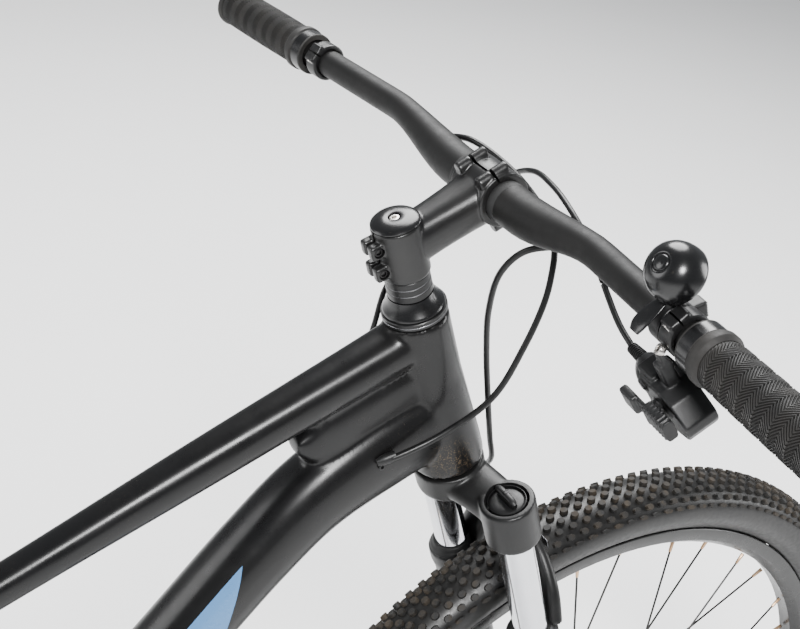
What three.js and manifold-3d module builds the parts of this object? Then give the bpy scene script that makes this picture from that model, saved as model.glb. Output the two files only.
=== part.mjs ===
// Hardtail mountain bike: rigid frame, telescopic fork, flat handlebar with lever brakes, trigger
// shifter and bell, single chainring drivetrain. Millimetres, +X forward, +Y left, +Z up, origin on
// the ground midway between the wheel axles.
import * as THREE from 'three';
import { mergeVertices } from 'three/addons/utils/BufferGeometryUtils.js';
import Module from 'manifold-3d';

const wasm = await Module();
wasm.setup();

// ---- Driving dimensions -------------------------------------------------------------------------
const GAP = 0.3; // running gap between neighbouring solids
const WHEELBASE = 1190.5;
const TYRE_R = 369; // 29 inch wheel
const TYRE_HALF_WIDTH = 28.5;
const RIM_R = 317;
const SPOKES = 32;
const ROTOR_R = 80;
const HEAD_ANGLE = 68.5; // degrees from the ground
const HEAD_LENGTH = 151;
const FORK_LENGTH = 499; // lower end of the head tube to the axle, along the steering axis
const FORK_OFFSET = 48.5;
const LEG_OFFSET = 14; // fork legs ahead of the steering axis
const LEG_HALF_SPACING = 64;
const STANCHION_R = 15;
const CROWN_TOP = -156;
const CROWN_BOTTOM = -205;
const LOWERS_TOP = -321;
const SEAT_ANGLE = 73.5;
const SEAT_TUBE = 400;
const BB = { x: -159.65, z: 307 };
const CRANK = 170;
const PEDAL_AXLE_R = 5;
const CHAIN_Y = -50;
const CHAIN_HALF_HEIGHT = 4.2;
const ROLLER_PITCH = 12.7;
const RING_TEETH = 32;
const COG_TEETH = 16;
const PULLEY_TEETH = 12;
const BAR_R = 15.9; // at the stem
const BAR_END_R = 11.1;
const BAR_END = 378; // half length of the handlebar tube
const BAR_CENTRE = { x: 77.6, z: 70.6 }; // from the top of the head tube, in the steering frame
const BAR_RISE = 12.8;
const BACKSWEEP = 0.108;
const UPSWEEP = 0.045;
const GRIP_START = 248;
const GRIP_LENGTH = 134;
const LEVER_DROP = { left: 54, right: 68 }; // degrees each brake lever points below the forward direction
const SHIFTER_DROP = 75;
const STEERER_R = 14.3;

const rad = THREE.MathUtils.degToRad;
const V = (x, y, z) => new THREE.Vector3(x, y, z);
const AXLE_Z = TYRE_R;
const FRONT_AXLE = V(WHEELBASE / 2, 0, AXLE_Z);
const REAR_AXLE = V(-WHEELBASE / 2, 0, AXLE_Z);
const AXLE_DROP = -(HEAD_LENGTH + FORK_LENGTH);
const tilt = rad(90 - HEAD_ANGLE);
const forward = V(Math.cos(tilt), 0, Math.sin(tilt));
const up = V(-Math.sin(tilt), 0, Math.cos(tilt));
const HEAD_TOP = FRONT_AXLE.clone().addScaledVector(forward, -FORK_OFFSET).addScaledVector(up, -AXLE_DROP);

// A point of the steering frame (x ahead of the steering axis, z up along it) in the bike's frame.
function steered(x, y, z) {
  return HEAD_TOP.clone().addScaledVector(forward, x).addScaledVector(up, z).add(V(0, y, 0));
}

// ---- Solids -------------------------------------------------------------------------------------
// Closed copy of a geometry with shared vertices and faces pointing out.
function welded(geometry) {
  const bare = geometry.clone();
  bare.deleteAttribute('normal');
  bare.deleteAttribute('uv');
  const merged = mergeVertices(bare, 1e-3);
  const point = (i) => new THREE.Vector3().fromBufferAttribute(merged.attributes.position, i);
  const corners = merged.index.array;
  const kept = [];
  let volume = 0;
  for (let i = 0; i < corners.length; i += 3) {
    const [a, b, c] = [corners[i], corners[i + 1], corners[i + 2]];
    if (a !== b && b !== c && c !== a) {
      kept.push(a, b, c);
      volume += point(a).dot(point(b).cross(point(c)));
    }
  }
  merged.setIndex(volume < 0 ? kept.reverse() : kept);
  return merged;
}

function solid(geometry) {
  const closed = welded(geometry);
  const mesh = new wasm.Mesh({
    numProp: 3,
    vertProperties: new Float32Array(closed.attributes.position.array),
    triVerts: new Uint32Array(closed.index.array),
  });
  return new wasm.Manifold(mesh);
}

function geometryOf(body) {
  const mesh = body.getMesh();
  const geometry = new THREE.BufferGeometry();
  geometry.setAttribute('position', new THREE.BufferAttribute(mesh.vertProperties, 3));
  geometry.setIndex(new THREE.BufferAttribute(mesh.triVerts, 1));
  return geometry;
}

const join = (first, ...others) => others.reduce((body, other) => body.add(other), first);
const cut = (first, ...others) => others.reduce((body, other) => body.subtract(other), first);

// Solid of revolution; the profile lists [radius, height] and is turned about the named axis.
function turned(profile, axis = 'y', segments = 18) {
  const geometry = new THREE.LatheGeometry(profile.map(([r, h]) => new THREE.Vector2(r, h)), segments);
  if (axis === 'z') geometry.rotateX(Math.PI / 2);
  return solid(geometry);
}

const ring = (inner, outer, low, high, axis, segments) =>
  turned([[inner, low], [outer, low], [outer, high], [inner, high], [inner, low]], axis, segments);

function rod(from, to, radius, sides = 12, endRadius = radius) {
  const along = to.clone().sub(from);
  const geometry = new THREE.CylinderGeometry(endRadius, radius, along.length(), sides);
  const turn = new THREE.Quaternion().setFromUnitVectors(V(0, 1, 0), along.clone().normalize());
  geometry.applyQuaternion(turn);
  const middle = from.clone().lerp(to, 0.5);
  geometry.translate(middle.x, middle.y, middle.z);
  return solid(geometry);
}

// Corner radius of a bore with flat facets that clears a round of the given radius.
const around = (radius, sides) => (radius + GAP) / Math.cos(Math.PI / sides);

// Box given by its low and high corners.
function block(low, high) {
  const size = high.clone().sub(low);
  const geometry = new THREE.BoxGeometry(size.x, size.y, size.z);
  const middle = low.clone().lerp(high, 0.5);
  geometry.translate(middle.x, middle.y, middle.z);
  return solid(geometry);
}

// Plate of an x-z outline between two y levels.
function plate(outline, lowY, highY, hole = null) {
  const shape = new THREE.Shape(outline.map(([x, z]) => new THREE.Vector2(x, z)));
  if (hole) shape.holes.push(new THREE.Path(hole.map(([x, z]) => new THREE.Vector2(x, z))));
  const geometry = new THREE.ExtrudeGeometry(shape, { depth: highY - lowY, bevelEnabled: false });
  geometry.rotateX(Math.PI / 2);
  geometry.translate(0, highY, 0);
  return solid(geometry);
}

// Outline of two discs and the band between them, in x-z.
function linkOutline(a, b, steps = 5) {
  const angle = Math.atan2(b.z - a.z, b.x - a.x);
  const lean = Math.asin((a.r - b.r) / Math.hypot(b.x - a.x, b.z - a.z));
  const half = Math.PI / 2 - lean;
  const arc = (disc, start, end) => Array.from({ length: steps + 1 }, (_, i) => {
    const t = start + (end - start) * (i / steps);
    return [disc.x + disc.r * Math.cos(t), disc.z + disc.r * Math.sin(t)];
  });
  const outline = [...arc(b, angle - half, angle + half), ...arc(a, angle + half, angle - half + 2 * Math.PI)];
  return outline;
}

// Tube through stations { at, wide, high }: elliptical sections whose wide axis follows `side`.
function loft(stations, side, sides = 14, power = 2) {
  const positions = [];
  const faces = [];
  const squared = (v) => Math.sign(v) * Math.abs(v) ** (2 / power);
  stations.forEach((station, i) => {
    const before = stations[Math.max(i - 1, 0)].at;
    const after = stations[Math.min(i + 1, stations.length - 1)].at;
    const tangent = after.clone().sub(before).normalize();
    const across = side.clone().addScaledVector(tangent, -side.dot(tangent)).normalize();
    const over = tangent.clone().cross(across);
    for (let k = 0; k < sides; k += 1) {
      const angle = (2 * Math.PI * k) / sides;
      const point = station.at.clone();
      point.addScaledVector(across, station.wide * squared(Math.cos(angle)));
      point.addScaledVector(over, station.high * squared(Math.sin(angle)));
      positions.push(point.x, point.y, point.z);
    }
  });
  const last = (stations.length - 1) * sides;
  for (let i = 0; i < last; i += sides) {
    for (let k = 0; k < sides; k += 1) {
      const n = (k + 1) % sides;
      faces.push(i + k, i + n, i + sides + k, i + n, i + sides + n, i + sides + k);
    }
  }
  for (let k = 1; k < sides - 1; k += 1) faces.push(0, k + 1, k, last, last + k, last + k + 1);
  const geometry = new THREE.BufferGeometry();
  geometry.setAttribute('position', new THREE.Float32BufferAttribute(positions, 3));
  geometry.setIndex(faces);
  return solid(geometry);
}

// Round cable housing along a smooth curve through hand-laid points.
function cable(points, radius, steps = 26) {
  const corners = Array.from({ length: 6 }, (_, k) => rad(60 * k));
  const section = new THREE.Shape(corners.map((a) => new THREE.Vector2(radius * Math.cos(a), radius * Math.sin(a))));
  const path = new THREE.CatmullRomCurve3(points.map(([x, y, z]) => V(x, y, z)), false, 'centripetal');
  return solid(new THREE.ExtrudeGeometry(section, { steps, extrudePath: path, bevelEnabled: false }));
}

// Built for the left side with +y outward; the right side is its mirror image.
function sided(body, side) {
  const geometry = geometryOf(body);
  geometry.scale(1, side, 1);
  return solid(geometry);
}

// ---- Finishes and scene graph -------------------------------------------------------------------
const FINISH = {
  frame: { color: 0x1b1b1c, roughness: 0.42, metalness: 0.1 },
  satin: { color: 0x191919, roughness: 0.5, metalness: 0.2 },
  gloss: { color: 0x0c0c0d, roughness: 0.12, metalness: 0.1 },
  rubber: { color: 0x1f1f1e, roughness: 0.85, metalness: 0 },
  tyre: { color: 0x262420, roughness: 0.92, metalness: 0 },
  chrome: { color: 0xd9dadb, roughness: 0.08, metalness: 1 },
  steel: { color: 0x9a9a98, roughness: 0.35, metalness: 0.9 },
  hose: { color: 0x141414, roughness: 0.4, metalness: 0 },
  saddle: { color: 0x1a1a1b, roughness: 0.7, metalness: 0 },
};

const bike = new THREE.Group();
const steering = new THREE.Group();
steering.position.copy(HEAD_TOP);
steering.rotation.y = -tilt;
bike.add(steering);

function piece(parent, name, body, finish) {
  const mesh = new THREE.Mesh(geometryOf(body), new THREE.MeshStandardMaterial(FINISH[finish]));
  mesh.name = name;
  parent.add(mesh);
}

function placed(parent, position) {
  const group = new THREE.Group();
  group.position.copy(position);
  parent.add(group);
  return group;
}

// ---- Frame --------------------------------------------------------------------------------------
const seatDirection = V(-Math.cos(rad(SEAT_ANGLE)), 0, Math.sin(rad(SEAT_ANGLE)));
const alongSeat = (distance) => V(BB.x, 0, BB.z).addScaledVector(seatDirection, distance);
const SIDE = V(0, 1, 0);
const SEAT_TUBE_R = 17.4;
const SEATPOST_R = 15.5;
const SHELL_R = 21;
const SHELL_HALF = 36.5;
const HEAD_OUTLINE = [[25, -GAP], [25.4, -60], [29.6, -132], [30, -HEAD_LENGTH]];

// Room for the head tube, a gap larger all round and longer at both ends.
function headSleeve() {
  const overrun = 3;
  const inside = HEAD_OUTLINE.map(([r, z]) => ({ at: steered(0, 0, z), wide: r + GAP, high: r + GAP }));
  const first = { ...inside[0], at: steered(0, 0, overrun) };
  const last = { ...inside[inside.length - 1], at: steered(0, 0, -HEAD_LENGTH - overrun) };
  return loft([first, ...inside, last], SIDE, 20);
}

function buildFrame() {
  const headBore = 17.5;
  const headProfile = [...HEAD_OUTLINE, [headBore, -HEAD_LENGTH], [headBore, -GAP], HEAD_OUTLINE[0]];
  piece(steering, 'head_tube', turned(headProfile, 'z', 20), 'frame');

  const seatSleeve = rod(alongSeat(-30), alongSeat(SEAT_TUBE + 5), SEAT_TUBE_R + 3 * GAP, 16);
  const shellSleeve = rod(V(BB.x, -60, BB.z), V(BB.x, 60, BB.z), SHELL_R + GAP, 24);

  const topStations = [
    { at: steered(5, 0, -20), wide: 21, high: 19 },
    { at: steered(-55, 0, -25), wide: 19, high: 18 },
    { at: V(147, 0, 851.8), wide: 16.5, high: 17 },
    { at: V(7, 0, 782.3), wide: 14, high: 13.8 },
    { at: alongSeat(357), wide: 13.5, high: 13.5 },
  ];
  const topTube = loft(topStations, SIDE, 12, 2.4);
  piece(bike, 'top_tube', cut(topTube, headSleeve(), seatSleeve), 'frame');

  const downTube = loft([
    { at: steered(5, 0, -100), wide: 25, high: 39 },
    { at: steered(-45, 0, -103), wide: 27, high: 37 },
    { at: V(246, 0, 806), wide: 28, high: 32 },
    { at: V(205, 0, 765), wide: 29, high: 29.5 },
    { at: V(150, 0, 699), wide: 29, high: 29 },
    { at: V(-20, 0, 490), wide: 29.5, high: 27 },
    { at: V(BB.x, 0, BB.z + 12), wide: 32, high: 22 },
  ], SIDE, 12, 2.4);
  // Gusset that fills the corner between the down tube and the underside of the top tube.
  const gusset = loft([
    { at: steered(-120, 0, -60), wide: 10, high: 6 },
    { at: steered(-100, 0, -66), wide: 15, high: 22 },
    { at: steered(-60, 0, -60), wide: 17, high: 24 },
    { at: steered(5, 0, -56), wide: 18, high: 24 },
  ], SIDE, 12, 3);
  const topRoom = loft(topStations.map(({ at, wide, high }) => ({ at, wide: wide + 2 * GAP, high: high + 2 * GAP })), SIDE, 12, 2.4);
  piece(bike, 'down_tube', cut(join(downTube, gusset), headSleeve(), topRoom, shellSleeve, seatSleeve), 'frame');

  const seatTube = rod(alongSeat(0), alongSeat(SEAT_TUBE), SEAT_TUBE_R, 16);
  const seatBore = rod(alongSeat(135), alongSeat(SEAT_TUBE + 5), SEATPOST_R + GAP, 16);
  piece(bike, 'seat_tube', cut(seatTube, shellSleeve, seatBore), 'frame');

  const shell = ring(12.6, SHELL_R, -SHELL_HALF, SHELL_HALF, 'y', 24);
  piece(placed(bike, V(BB.x, 0, BB.z)), 'bottom_bracket_shell', shell, 'frame');

  const clampLow = alongSeat(SEAT_TUBE - 16);
  const clampHigh = alongSeat(SEAT_TUBE - 1);
  const clampBore = rod(alongSeat(300), alongSeat(420), SEAT_TUBE_R + GAP, 16);
  const clampBand = cut(rod(clampLow, clampHigh, 22.5, 16), clampBore);
  const lug = block(V(-28, -8, 2), V(-19, 8, 13));
  const slot = block(V(-30, -1, 0), V(-16, 1, 16));
  const clampLug = cut(lug, slot.translate(-2, 0, 0)).rotate([0, SEAT_ANGLE - 90, 0]);
  const bolt = rod(V(-24, -11, 7.5), V(-24, 11, 7.5), 3, 10).rotate([0, SEAT_ANGLE - 90, 0]);
  const clampParts = join(clampLug, bolt).translate(clampLow.x, 0, clampLow.z);
  piece(bike, 'seat_clamp', join(clampBand, clampParts), 'satin');

  for (const side of [1, -1]) {
    const name = side > 0 ? 'left' : 'right';
    const dropout = plate(linkOutline({ x: REAR_AXLE.x, z: AXLE_Z, r: 20 }, { x: -560, z: 366, r: 13 }), 67.8, 75);
    const stay = loft([
      { at: V(-172, 24, 308), wide: 7, high: 14 },
      { at: V(-206, 33, 311), wide: 7, high: 14 },
      { at: V(-240, 40, 315), wide: 7, high: 13 },
      { at: V(-330, 49.5, 327), wide: 7, high: 11 },
      { at: V(-500, 65, 355), wide: 7, high: 10 },
      { at: V(-566, 71, 366), wide: 3.4, high: 11 },
    ], SIDE, 8);
    const hanger = plate(linkOutline({ x: -597, z: 360, r: 12 }, { x: -602, z: 337, r: 9 }), 67.8, 75);
    const blade = side > 0 ? join(dropout, stay) : join(dropout, stay, hanger);
    const axleHole = rod(V(REAR_AXLE.x, 60, AXLE_Z), V(REAR_AXLE.x, 80, AXLE_Z), 6 + GAP, 12);
    const pivotHole = rod(V(-602, 60, 337), V(-602, 80, 337), 4 + GAP, 8);
    const bored = cut(blade, axleHole, shellSleeve);
    piece(bike, `chainstay_${name}`, sided(side > 0 ? bored : cut(bored, pivotHole), side), 'frame');

    const seatstay = loft([
      { at: V(-262, 10, 662), wide: 8, high: 9 },
      { at: V(-285, 24, 642), wide: 8, high: 9 },
      { at: V(-330, 42, 602), wide: 8, high: 9 },
      { at: V(-440, 60, 507), wide: 7.5, high: 8.5 },
      { at: V(-588, 71.4, 379), wide: 3.6, high: 9 },
    ], SIDE, 8);
    const socket = rod(V(REAR_AXLE.x, 60, AXLE_Z), V(REAR_AXLE.x, 80, AXLE_Z), 20 + GAP, 16);
    const topSleeve = rod(alongSeat(357), V(7, 0, 782.3), 14.5, 16);
    const rest = cut(seatstay, socket, seatSleeve, topSleeve, block(V(-300, -20, 600), V(-240, GAP, 700)));
    const clear = plate(linkOutline({ x: REAR_AXLE.x, z: AXLE_Z, r: 20.3 }, { x: -560, z: 366, r: 13.3 }), 60, 80);
    piece(bike, `seatstay_${name}`, sided(cut(rest, clear), side), 'frame');
  }
}

// ---- Wheels -------------------------------------------------------------------------------------
const RIM_INNER = 296.5;

function buildWheel(parent, prefix, hub) {
  const wall = RIM_R + 0.4;
  const tread = [[wall, -15], [331, -27], [344, -TYRE_HALF_WIDTH], [362, -21], [TYRE_R, -8]];
  const mirrored = tread.map(([r, y]) => [r, -y]).reverse();
  piece(parent, `${prefix}_tyre`, turned([...tread, ...mirrored, tread[0]], 'y', 28), 'tyre');

  const well = [[RIM_INNER, -9], [304, -17], [RIM_R, -17]];
  const wellMirror = well.map(([r, y]) => [r, -y]).reverse();
  piece(parent, `${prefix}_rim`, turned([...well, ...wellMirror, well[0]], 'y', 28), 'satin');

  const bore = 6 + GAP;
  const profile = [
    [bore, -hub.half], [10, -hub.half], [10, hub.right - 2.2], [hub.flange, hub.right - 2.2],
    [hub.flange, hub.right + 2.2], [13, hub.right + 6], [13, hub.left - 6], [hub.flange, hub.left - 2.2],
    [hub.flange, hub.left + 2.2], [18, hub.left + 2.2], [18, hub.rotor + 3], [10, hub.rotor + 3],
    [10, hub.half], [bore, hub.half], [bore, -hub.half],
  ];
  let body = turned(profile, 'y', 12);
  for (let k = 0; k < SPOKES; k += 1) {
    const left = k % 2 === 0;
    const lead = k % 4 < 2 ? 1 : -1;
    const rimAngle = (2 * Math.PI * k) / SPOKES;
    const hubAngle = rimAngle + lead * rad(62);
    const flangeY = left ? hub.left : hub.right;
    const r = hub.flange - 3.5;
    const from = V(r * Math.cos(hubAngle), flangeY + 2 * lead, r * Math.sin(hubAngle));
    const outer = RIM_INNER - 2.2;
    const to = V(outer * Math.cos(rimAngle), left ? 3 : -3, outer * Math.sin(rimAngle));
    body = body.add(rod(from, to, 1.1, 3));
  }
  piece(parent, `${prefix}_hub_and_spokes`, body, 'satin');

  const rotor = ring(18 + GAP, ROTOR_R, hub.rotor - 0.9, hub.rotor + 0.9, 'y', 24);
  piece(parent, `${prefix}_brake_rotor`, rotor, 'steel');
}

// Through axle with a head on each end.
function axle(half) {
  return turned([[0, -half - 6], [9.5, -half - 6], [9.5, -half], [6, -half], [6, half], [9.5, half],
    [9.5, half + 6], [0, half + 6]], 'y', 12);
}

// Caliper straddling the rotor at `centre` from the axle: a slotted block and its piston housing.
function caliper(centre, rotorY, lowY, highY, housingY) {
  const body = block(V(-17, lowY, -22), V(15, highY, 22));
  const slot = block(V(-20, rotorY - 2, -30), V(9, rotorY + 2, 30));
  const housing = rod(V(5, highY - 2, 0), V(5, housingY, 0), 9, 12);
  const angle = -THREE.MathUtils.radToDeg(Math.atan2(centre.z, centre.x));
  return join(cut(body, slot), housing).rotate([0, angle, 0]).translate(centre.x, 0, centre.z);
}

function buildRearEnd() {
  const wheel = placed(bike, REAR_AXLE);
  buildWheel(wheel, 'rear', { half: 67.4, left: 33, right: -22, flange: 28, rotor: 53 });
  const outline = [
    [10.5, -26.9], [85, -26.9], [85, -29], [62, -36], [46, -42], [36, -46.9], [28, -46.9], [28, -53],
    [22, -57], [22, -62], [10.5, -62], [10.5, -26.9],
  ];
  piece(wheel, 'cassette', turned(outline, 'y', 16), 'steel');
  piece(wheel, 'rear_axle', axle(75.3), 'satin');
  piece(wheel, 'rear_brake_caliper', caliper({ x: 66, z: 46 }, 53, 43, 59, 60.5), 'satin');
}

// ---- Drivetrain ---------------------------------------------------------------------------------
const pitchRadius = (teeth) => ROLLER_PITCH / 2 / Math.sin(Math.PI / teeth);
const GUIDE = { x: -588, z: 257 };
const TENSION = { x: -556, z: 178 };

// Centre line of a belt round wheels { x, z, r, turn }, turn +1 for anticlockwise in x-z.
function beltPath(wheels) {
  const tangents = wheels.map((a, i) => {
    const b = wheels[(i + 1) % wheels.length];
    const distance = Math.hypot(b.x - a.x, b.z - a.z);
    const k = b.turn * b.r - a.turn * a.r;
    return Math.atan2(b.z - a.z, b.x - a.x) - Math.asin(k / distance);
  });
  const path = [];
  wheels.forEach((wheel, i) => {
    const arriving = tangents[(i + wheels.length - 1) % wheels.length];
    let sweep = (tangents[i] - arriving) * wheel.turn;
    sweep = ((sweep % (2 * Math.PI)) + 2 * Math.PI) % (2 * Math.PI);
    const steps = Math.max(2, Math.ceil(sweep / rad(18)));
    for (let s = 0; s <= steps; s += 1) {
      const heading = arriving + (wheel.turn * sweep * s) / steps;
      const x = wheel.x + wheel.turn * wheel.r * Math.sin(heading);
      const z = wheel.z - wheel.turn * wheel.r * Math.cos(heading);
      path.push({ x, z, heading });
    }
  });
  return path;
}

function buildDrivetrain() {
  const shift = (p, d) => [p.x - d * Math.sin(p.heading), p.z + d * Math.cos(p.heading)];
  const path = beltPath([
    { x: BB.x, z: BB.z, r: pitchRadius(RING_TEETH), turn: -1 },
    { ...TENSION, r: pitchRadius(PULLEY_TEETH), turn: -1 },
    { ...GUIDE, r: pitchRadius(PULLEY_TEETH), turn: 1 },
    { x: REAR_AXLE.x, z: AXLE_Z, r: pitchRadius(COG_TEETH), turn: -1 },
  ]);
  const outside = path.map((p) => shift(p, CHAIN_HALF_HEIGHT));
  const inside = path.map((p) => shift(p, -CHAIN_HALF_HEIGHT)).reverse();
  piece(bike, 'chain', plate(outside, CHAIN_Y - 2.7, CHAIN_Y + 2.7, inside), 'steel');

  const pulley = ring(3 + GAP, pitchRadius(PULLEY_TEETH) - 4.8, -1.2, 1.2, 'y', 14);
  piece(placed(bike, V(GUIDE.x, CHAIN_Y, GUIDE.z)), 'guide_pulley', pulley, 'satin');
  piece(placed(bike, V(TENSION.x, CHAIN_Y, TENSION.z)), 'tension_pulley', pulley, 'satin');

  const cage = linkOutline({ ...GUIDE, r: 15 }, { ...TENSION, r: 13 });
  const knuckle = { x: -602, z: 337 };
  const derailleur = join(
    plate(cage, CHAIN_Y + 6, CHAIN_Y + 8.2),
    plate(cage, CHAIN_Y - 8.2, CHAIN_Y - 6),
    rod(V(GUIDE.x, CHAIN_Y - 8, GUIDE.z), V(GUIDE.x, CHAIN_Y + 8, GUIDE.z), 3, 8),
    rod(V(TENSION.x, CHAIN_Y - 8, TENSION.z), V(TENSION.x, CHAIN_Y + 8, TENSION.z), 3, 8),
    rod(V(GUIDE.x, CHAIN_Y - 34, GUIDE.z), V(GUIDE.x, CHAIN_Y - 7, GUIDE.z), 14, 12),
    plate(linkOutline({ ...knuckle, r: 12 }, { ...GUIDE, r: 11 }), -90, -78),
    rod(V(knuckle.x, -90, knuckle.z), V(knuckle.x, -75.3, knuckle.z), 12, 12),
    rod(V(knuckle.x, -80, knuckle.z), V(knuckle.x, -66, knuckle.z), 4, 8),
  );
  piece(bike, 'rear_derailleur', derailleur, 'satin');

  const centre = placed(bike, V(BB.x, 0, BB.z));
  const armOutline = linkOutline({ x: 0, z: 0, r: 18 }, { x: CRANK, z: 0, r: 13 });
  const hubBoss = rod(V(0, -39, 0), V(0, -62, 0), 19, 16);
  const spindleSocket = rod(V(0, -35, 0), V(0, -66.3, 0), 12 + GAP, 16);
  const disc = rod(V(0, CHAIN_Y - 1.3, 0), V(0, CHAIN_Y + 1.3, 0), pitchRadius(RING_TEETH) - 5, 28);
  const rightPin = rod(V(CRANK, -70, 0), V(CRANK, -168, 0), PEDAL_AXLE_R, 8);
  const right = cut(join(plate(armOutline, -73, -60.5), disc, hubBoss, rightPin), spindleSocket);
  piece(centre, 'crank_right', right, 'satin');

  const leftArm = plate(armOutline.map(([x, z]) => [-x, z]).reverse(), 60.5, 73);
  const spindle = rod(V(0, 62, 0), V(0, -66, 0), 12, 16);
  const leftPin = rod(V(-CRANK, 70, 0), V(-CRANK, 168, 0), PEDAL_AXLE_R, 8);
  piece(centre, 'crank_left', join(leftArm, rod(V(0, 39, 0), V(0, 62, 0), 19, 16), spindle, leftPin), 'satin');

  for (const side of [1, -1]) {
    const platform = plate([[-50, -9], [50, -9], [50, 9], [-50, 9]], 78, 176);
    const bore = rod(V(0, 70, 0), V(0, 168.4, 0), around(PEDAL_AXLE_R, 8), 8);
    const waist = block(V(-51, 76, -10), V(-34, 84, 10));
    const waistFront = block(V(34, 76, -10), V(51, 84, 10));
    const body = cut(platform, bore, waist, waistFront);
    const holder = placed(centre, V(-side * CRANK, 0, 0));
    piece(holder, `pedal_${side > 0 ? 'left' : 'right'}`, sided(body, side), 'satin');
  }
}

// ---- Saddle and seatpost ------------------------------------------------------------------------
function buildSeat() {
  const head = alongSeat(656);
  const post = rod(alongSeat(250), alongSeat(645), SEATPOST_R, 16);
  const clampHead = block(V(-22, -27, -10), V(22, 27, 12)).translate(head.x, 0, head.z);
  const railY = 22;
  const railZ = head.z + 4;
  const channel = (y) => rod(V(head.x - 40, y, railZ), V(head.x + 40, y, railZ), 3.5 + GAP, 8);
  const neck = rod(alongSeat(640), head, SEATPOST_R, 16, 14);
  piece(bike, 'seatpost', cut(join(post, neck, clampHead), channel(railY), channel(-railY)), 'satin');

  const deck = railZ + 22;
  const pad = loft([
    { at: V(head.x + 136, 0, deck + 8), wide: 12, high: 8 },
    { at: V(head.x + 125, 0, deck + 9), wide: 20, high: 12 },
    { at: V(head.x + 60, 0, deck + 10), wide: 24, high: 14 },
    { at: V(head.x - 20, 0, deck + 10), wide: 42, high: 15 },
    { at: V(head.x - 80, 0, deck + 13), wide: 68, high: 17 },
    { at: V(head.x - 122, 0, deck + 16), wide: 70, high: 17 },
    { at: V(head.x - 138, 0, deck + 17), wide: 52, high: 12 },
  ], SIDE, 12, 2.6);
  const rails = [railY, -railY].flatMap((y) => {
    const points = [V(100, y * 0.6, deck + 4), V(52, y, railZ), V(-48, y, railZ), V(-98, y * 1.3, deck + 8)];
    points.forEach((p) => p.setX(p.x + head.x));
    return [0, 1, 2].map((i) => {
      const overrun = points[i + 1].clone().sub(points[i]).setLength(1.5);
      return rod(points[i].clone().sub(overrun), points[i + 1].clone().add(overrun), 3.5, 6);
    });
  });
  piece(bike, 'saddle', join(pad, ...rails), 'saddle');
}

// ---- Fork ---------------------------------------------------------------------------------------
function buildFork() {
  const legAt = (side, z) => V(LEG_OFFSET, side * LEG_HALF_SPACING, z);
  const crownDeck = -(HEAD_LENGTH + 2);
  const underside = -178; // clears the tyre at full travel
  let crown = join(
    rod(V(0, 0, -165), V(0, 0, 80.5), STEERER_R, 16),
    turned([[0, underside], [25, underside], [29, underside + 6], [29, crownDeck], [0, crownDeck]], 'z', 18),
  );
  for (const side of [1, -1]) {
    crown = crown.add(loft([
      { at: V(0, 0, -166), wide: 24, high: 12 },
      { at: V(6, side * 28, -167), wide: 20, high: 11.5 },
      { at: V(12, side * 50, -174), wide: 18, high: 14 },
      { at: legAt(side, -180), wide: 17, high: 17 },
    ], V(1, 0, 0), 10, 2.6));
    crown = crown.add(rod(legAt(side, CROWN_BOTTOM), legAt(side, CROWN_TOP - 4), 23, 18));
    crown = crown.subtract(rod(legAt(side, CROWN_BOTTOM - 5), legAt(side, -172), STANCHION_R + GAP, 14));
    crown = crown.subtract(rod(legAt(side, -168), legAt(side, CROWN_TOP + 5), 15.5, 14));
    const name = side > 0 ? 'left' : 'right';
    const stanchion = rod(legAt(side, -462), legAt(side, -172.3), STANCHION_R, 14);
    piece(steering, `stanchion_${name}`, stanchion, 'chrome');
  }
  piece(steering, 'fork_crown', crown, 'satin');

  const dial = rod(legAt(-1, -167.7), legAt(-1, -161), 14.8, 14);
  const blade = block(V(-3, -13, -162), V(3, 13, -152)).translate(LEG_OFFSET, -LEG_HALF_SPACING, 0);
  piece(steering, 'lockout_knob', join(dial, blade), 'gloss');

  let lowers = loft([
    { at: V(33, -62, -322), wide: 8, high: 16 },
    { at: V(42, -52, -292), wide: 7, high: 13 },
    { at: V(48, -32, -270), wide: 6, high: 11 },
    { at: V(50, 0, -262), wide: 6, high: 11 },
    { at: V(48, 32, -270), wide: 6, high: 11 },
    { at: V(42, 52, -292), wide: 7, high: 13 },
    { at: V(33, 62, -322), wide: 8, high: 16 },
  ], V(1, 0, 0), 8, 2.6);
  for (const side of [1, -1]) {
    const leg = turned([[0, -668], [13, -668], [14, -630], [18, -590], [21, -335], [23, -333],
      [23, LOWERS_TOP], [0, LOWERS_TOP]], 'z', 14);
    lowers = lowers.add(leg.translate(LEG_OFFSET, side * LEG_HALF_SPACING, 0));
    const lug = plate(linkOutline({ x: FORK_OFFSET, z: AXLE_DROP, r: 15 }, { x: LEG_OFFSET, z: -640, r: 12 }), 52, 66);
    lowers = lowers.add(sided(lug, side));
  }
  for (const side of [1, -1]) {
    lowers = lowers.subtract(rod(legAt(side, -576), legAt(side, -300), STANCHION_R + GAP, 14));
  }
  const axleHole = rod(V(FORK_OFFSET, -90, AXLE_DROP), V(FORK_OFFSET, 90, AXLE_DROP), 6 + GAP, 12);
  const hubRoom = block(V(-20, -50.3, -700), V(80, 50.3, -600));
  lowers = cut(lowers, axleHole, hubRoom);
  piece(steering, 'fork_lowers', lowers, 'satin');

  const hub = placed(steering, V(FORK_OFFSET, 0, AXLE_DROP));
  piece(hub, 'front_axle', axle(66.3), 'satin');
  piece(hub, 'front_brake_caliper', caliper({ x: -67, z: 31 }, 41, 32, 46, 58), 'satin');
  const wheel = placed(bike, FRONT_AXLE);
  buildWheel(wheel, 'front', { half: 49.9, left: 25, right: -33, flange: 24, rotor: 41 });
}

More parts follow.
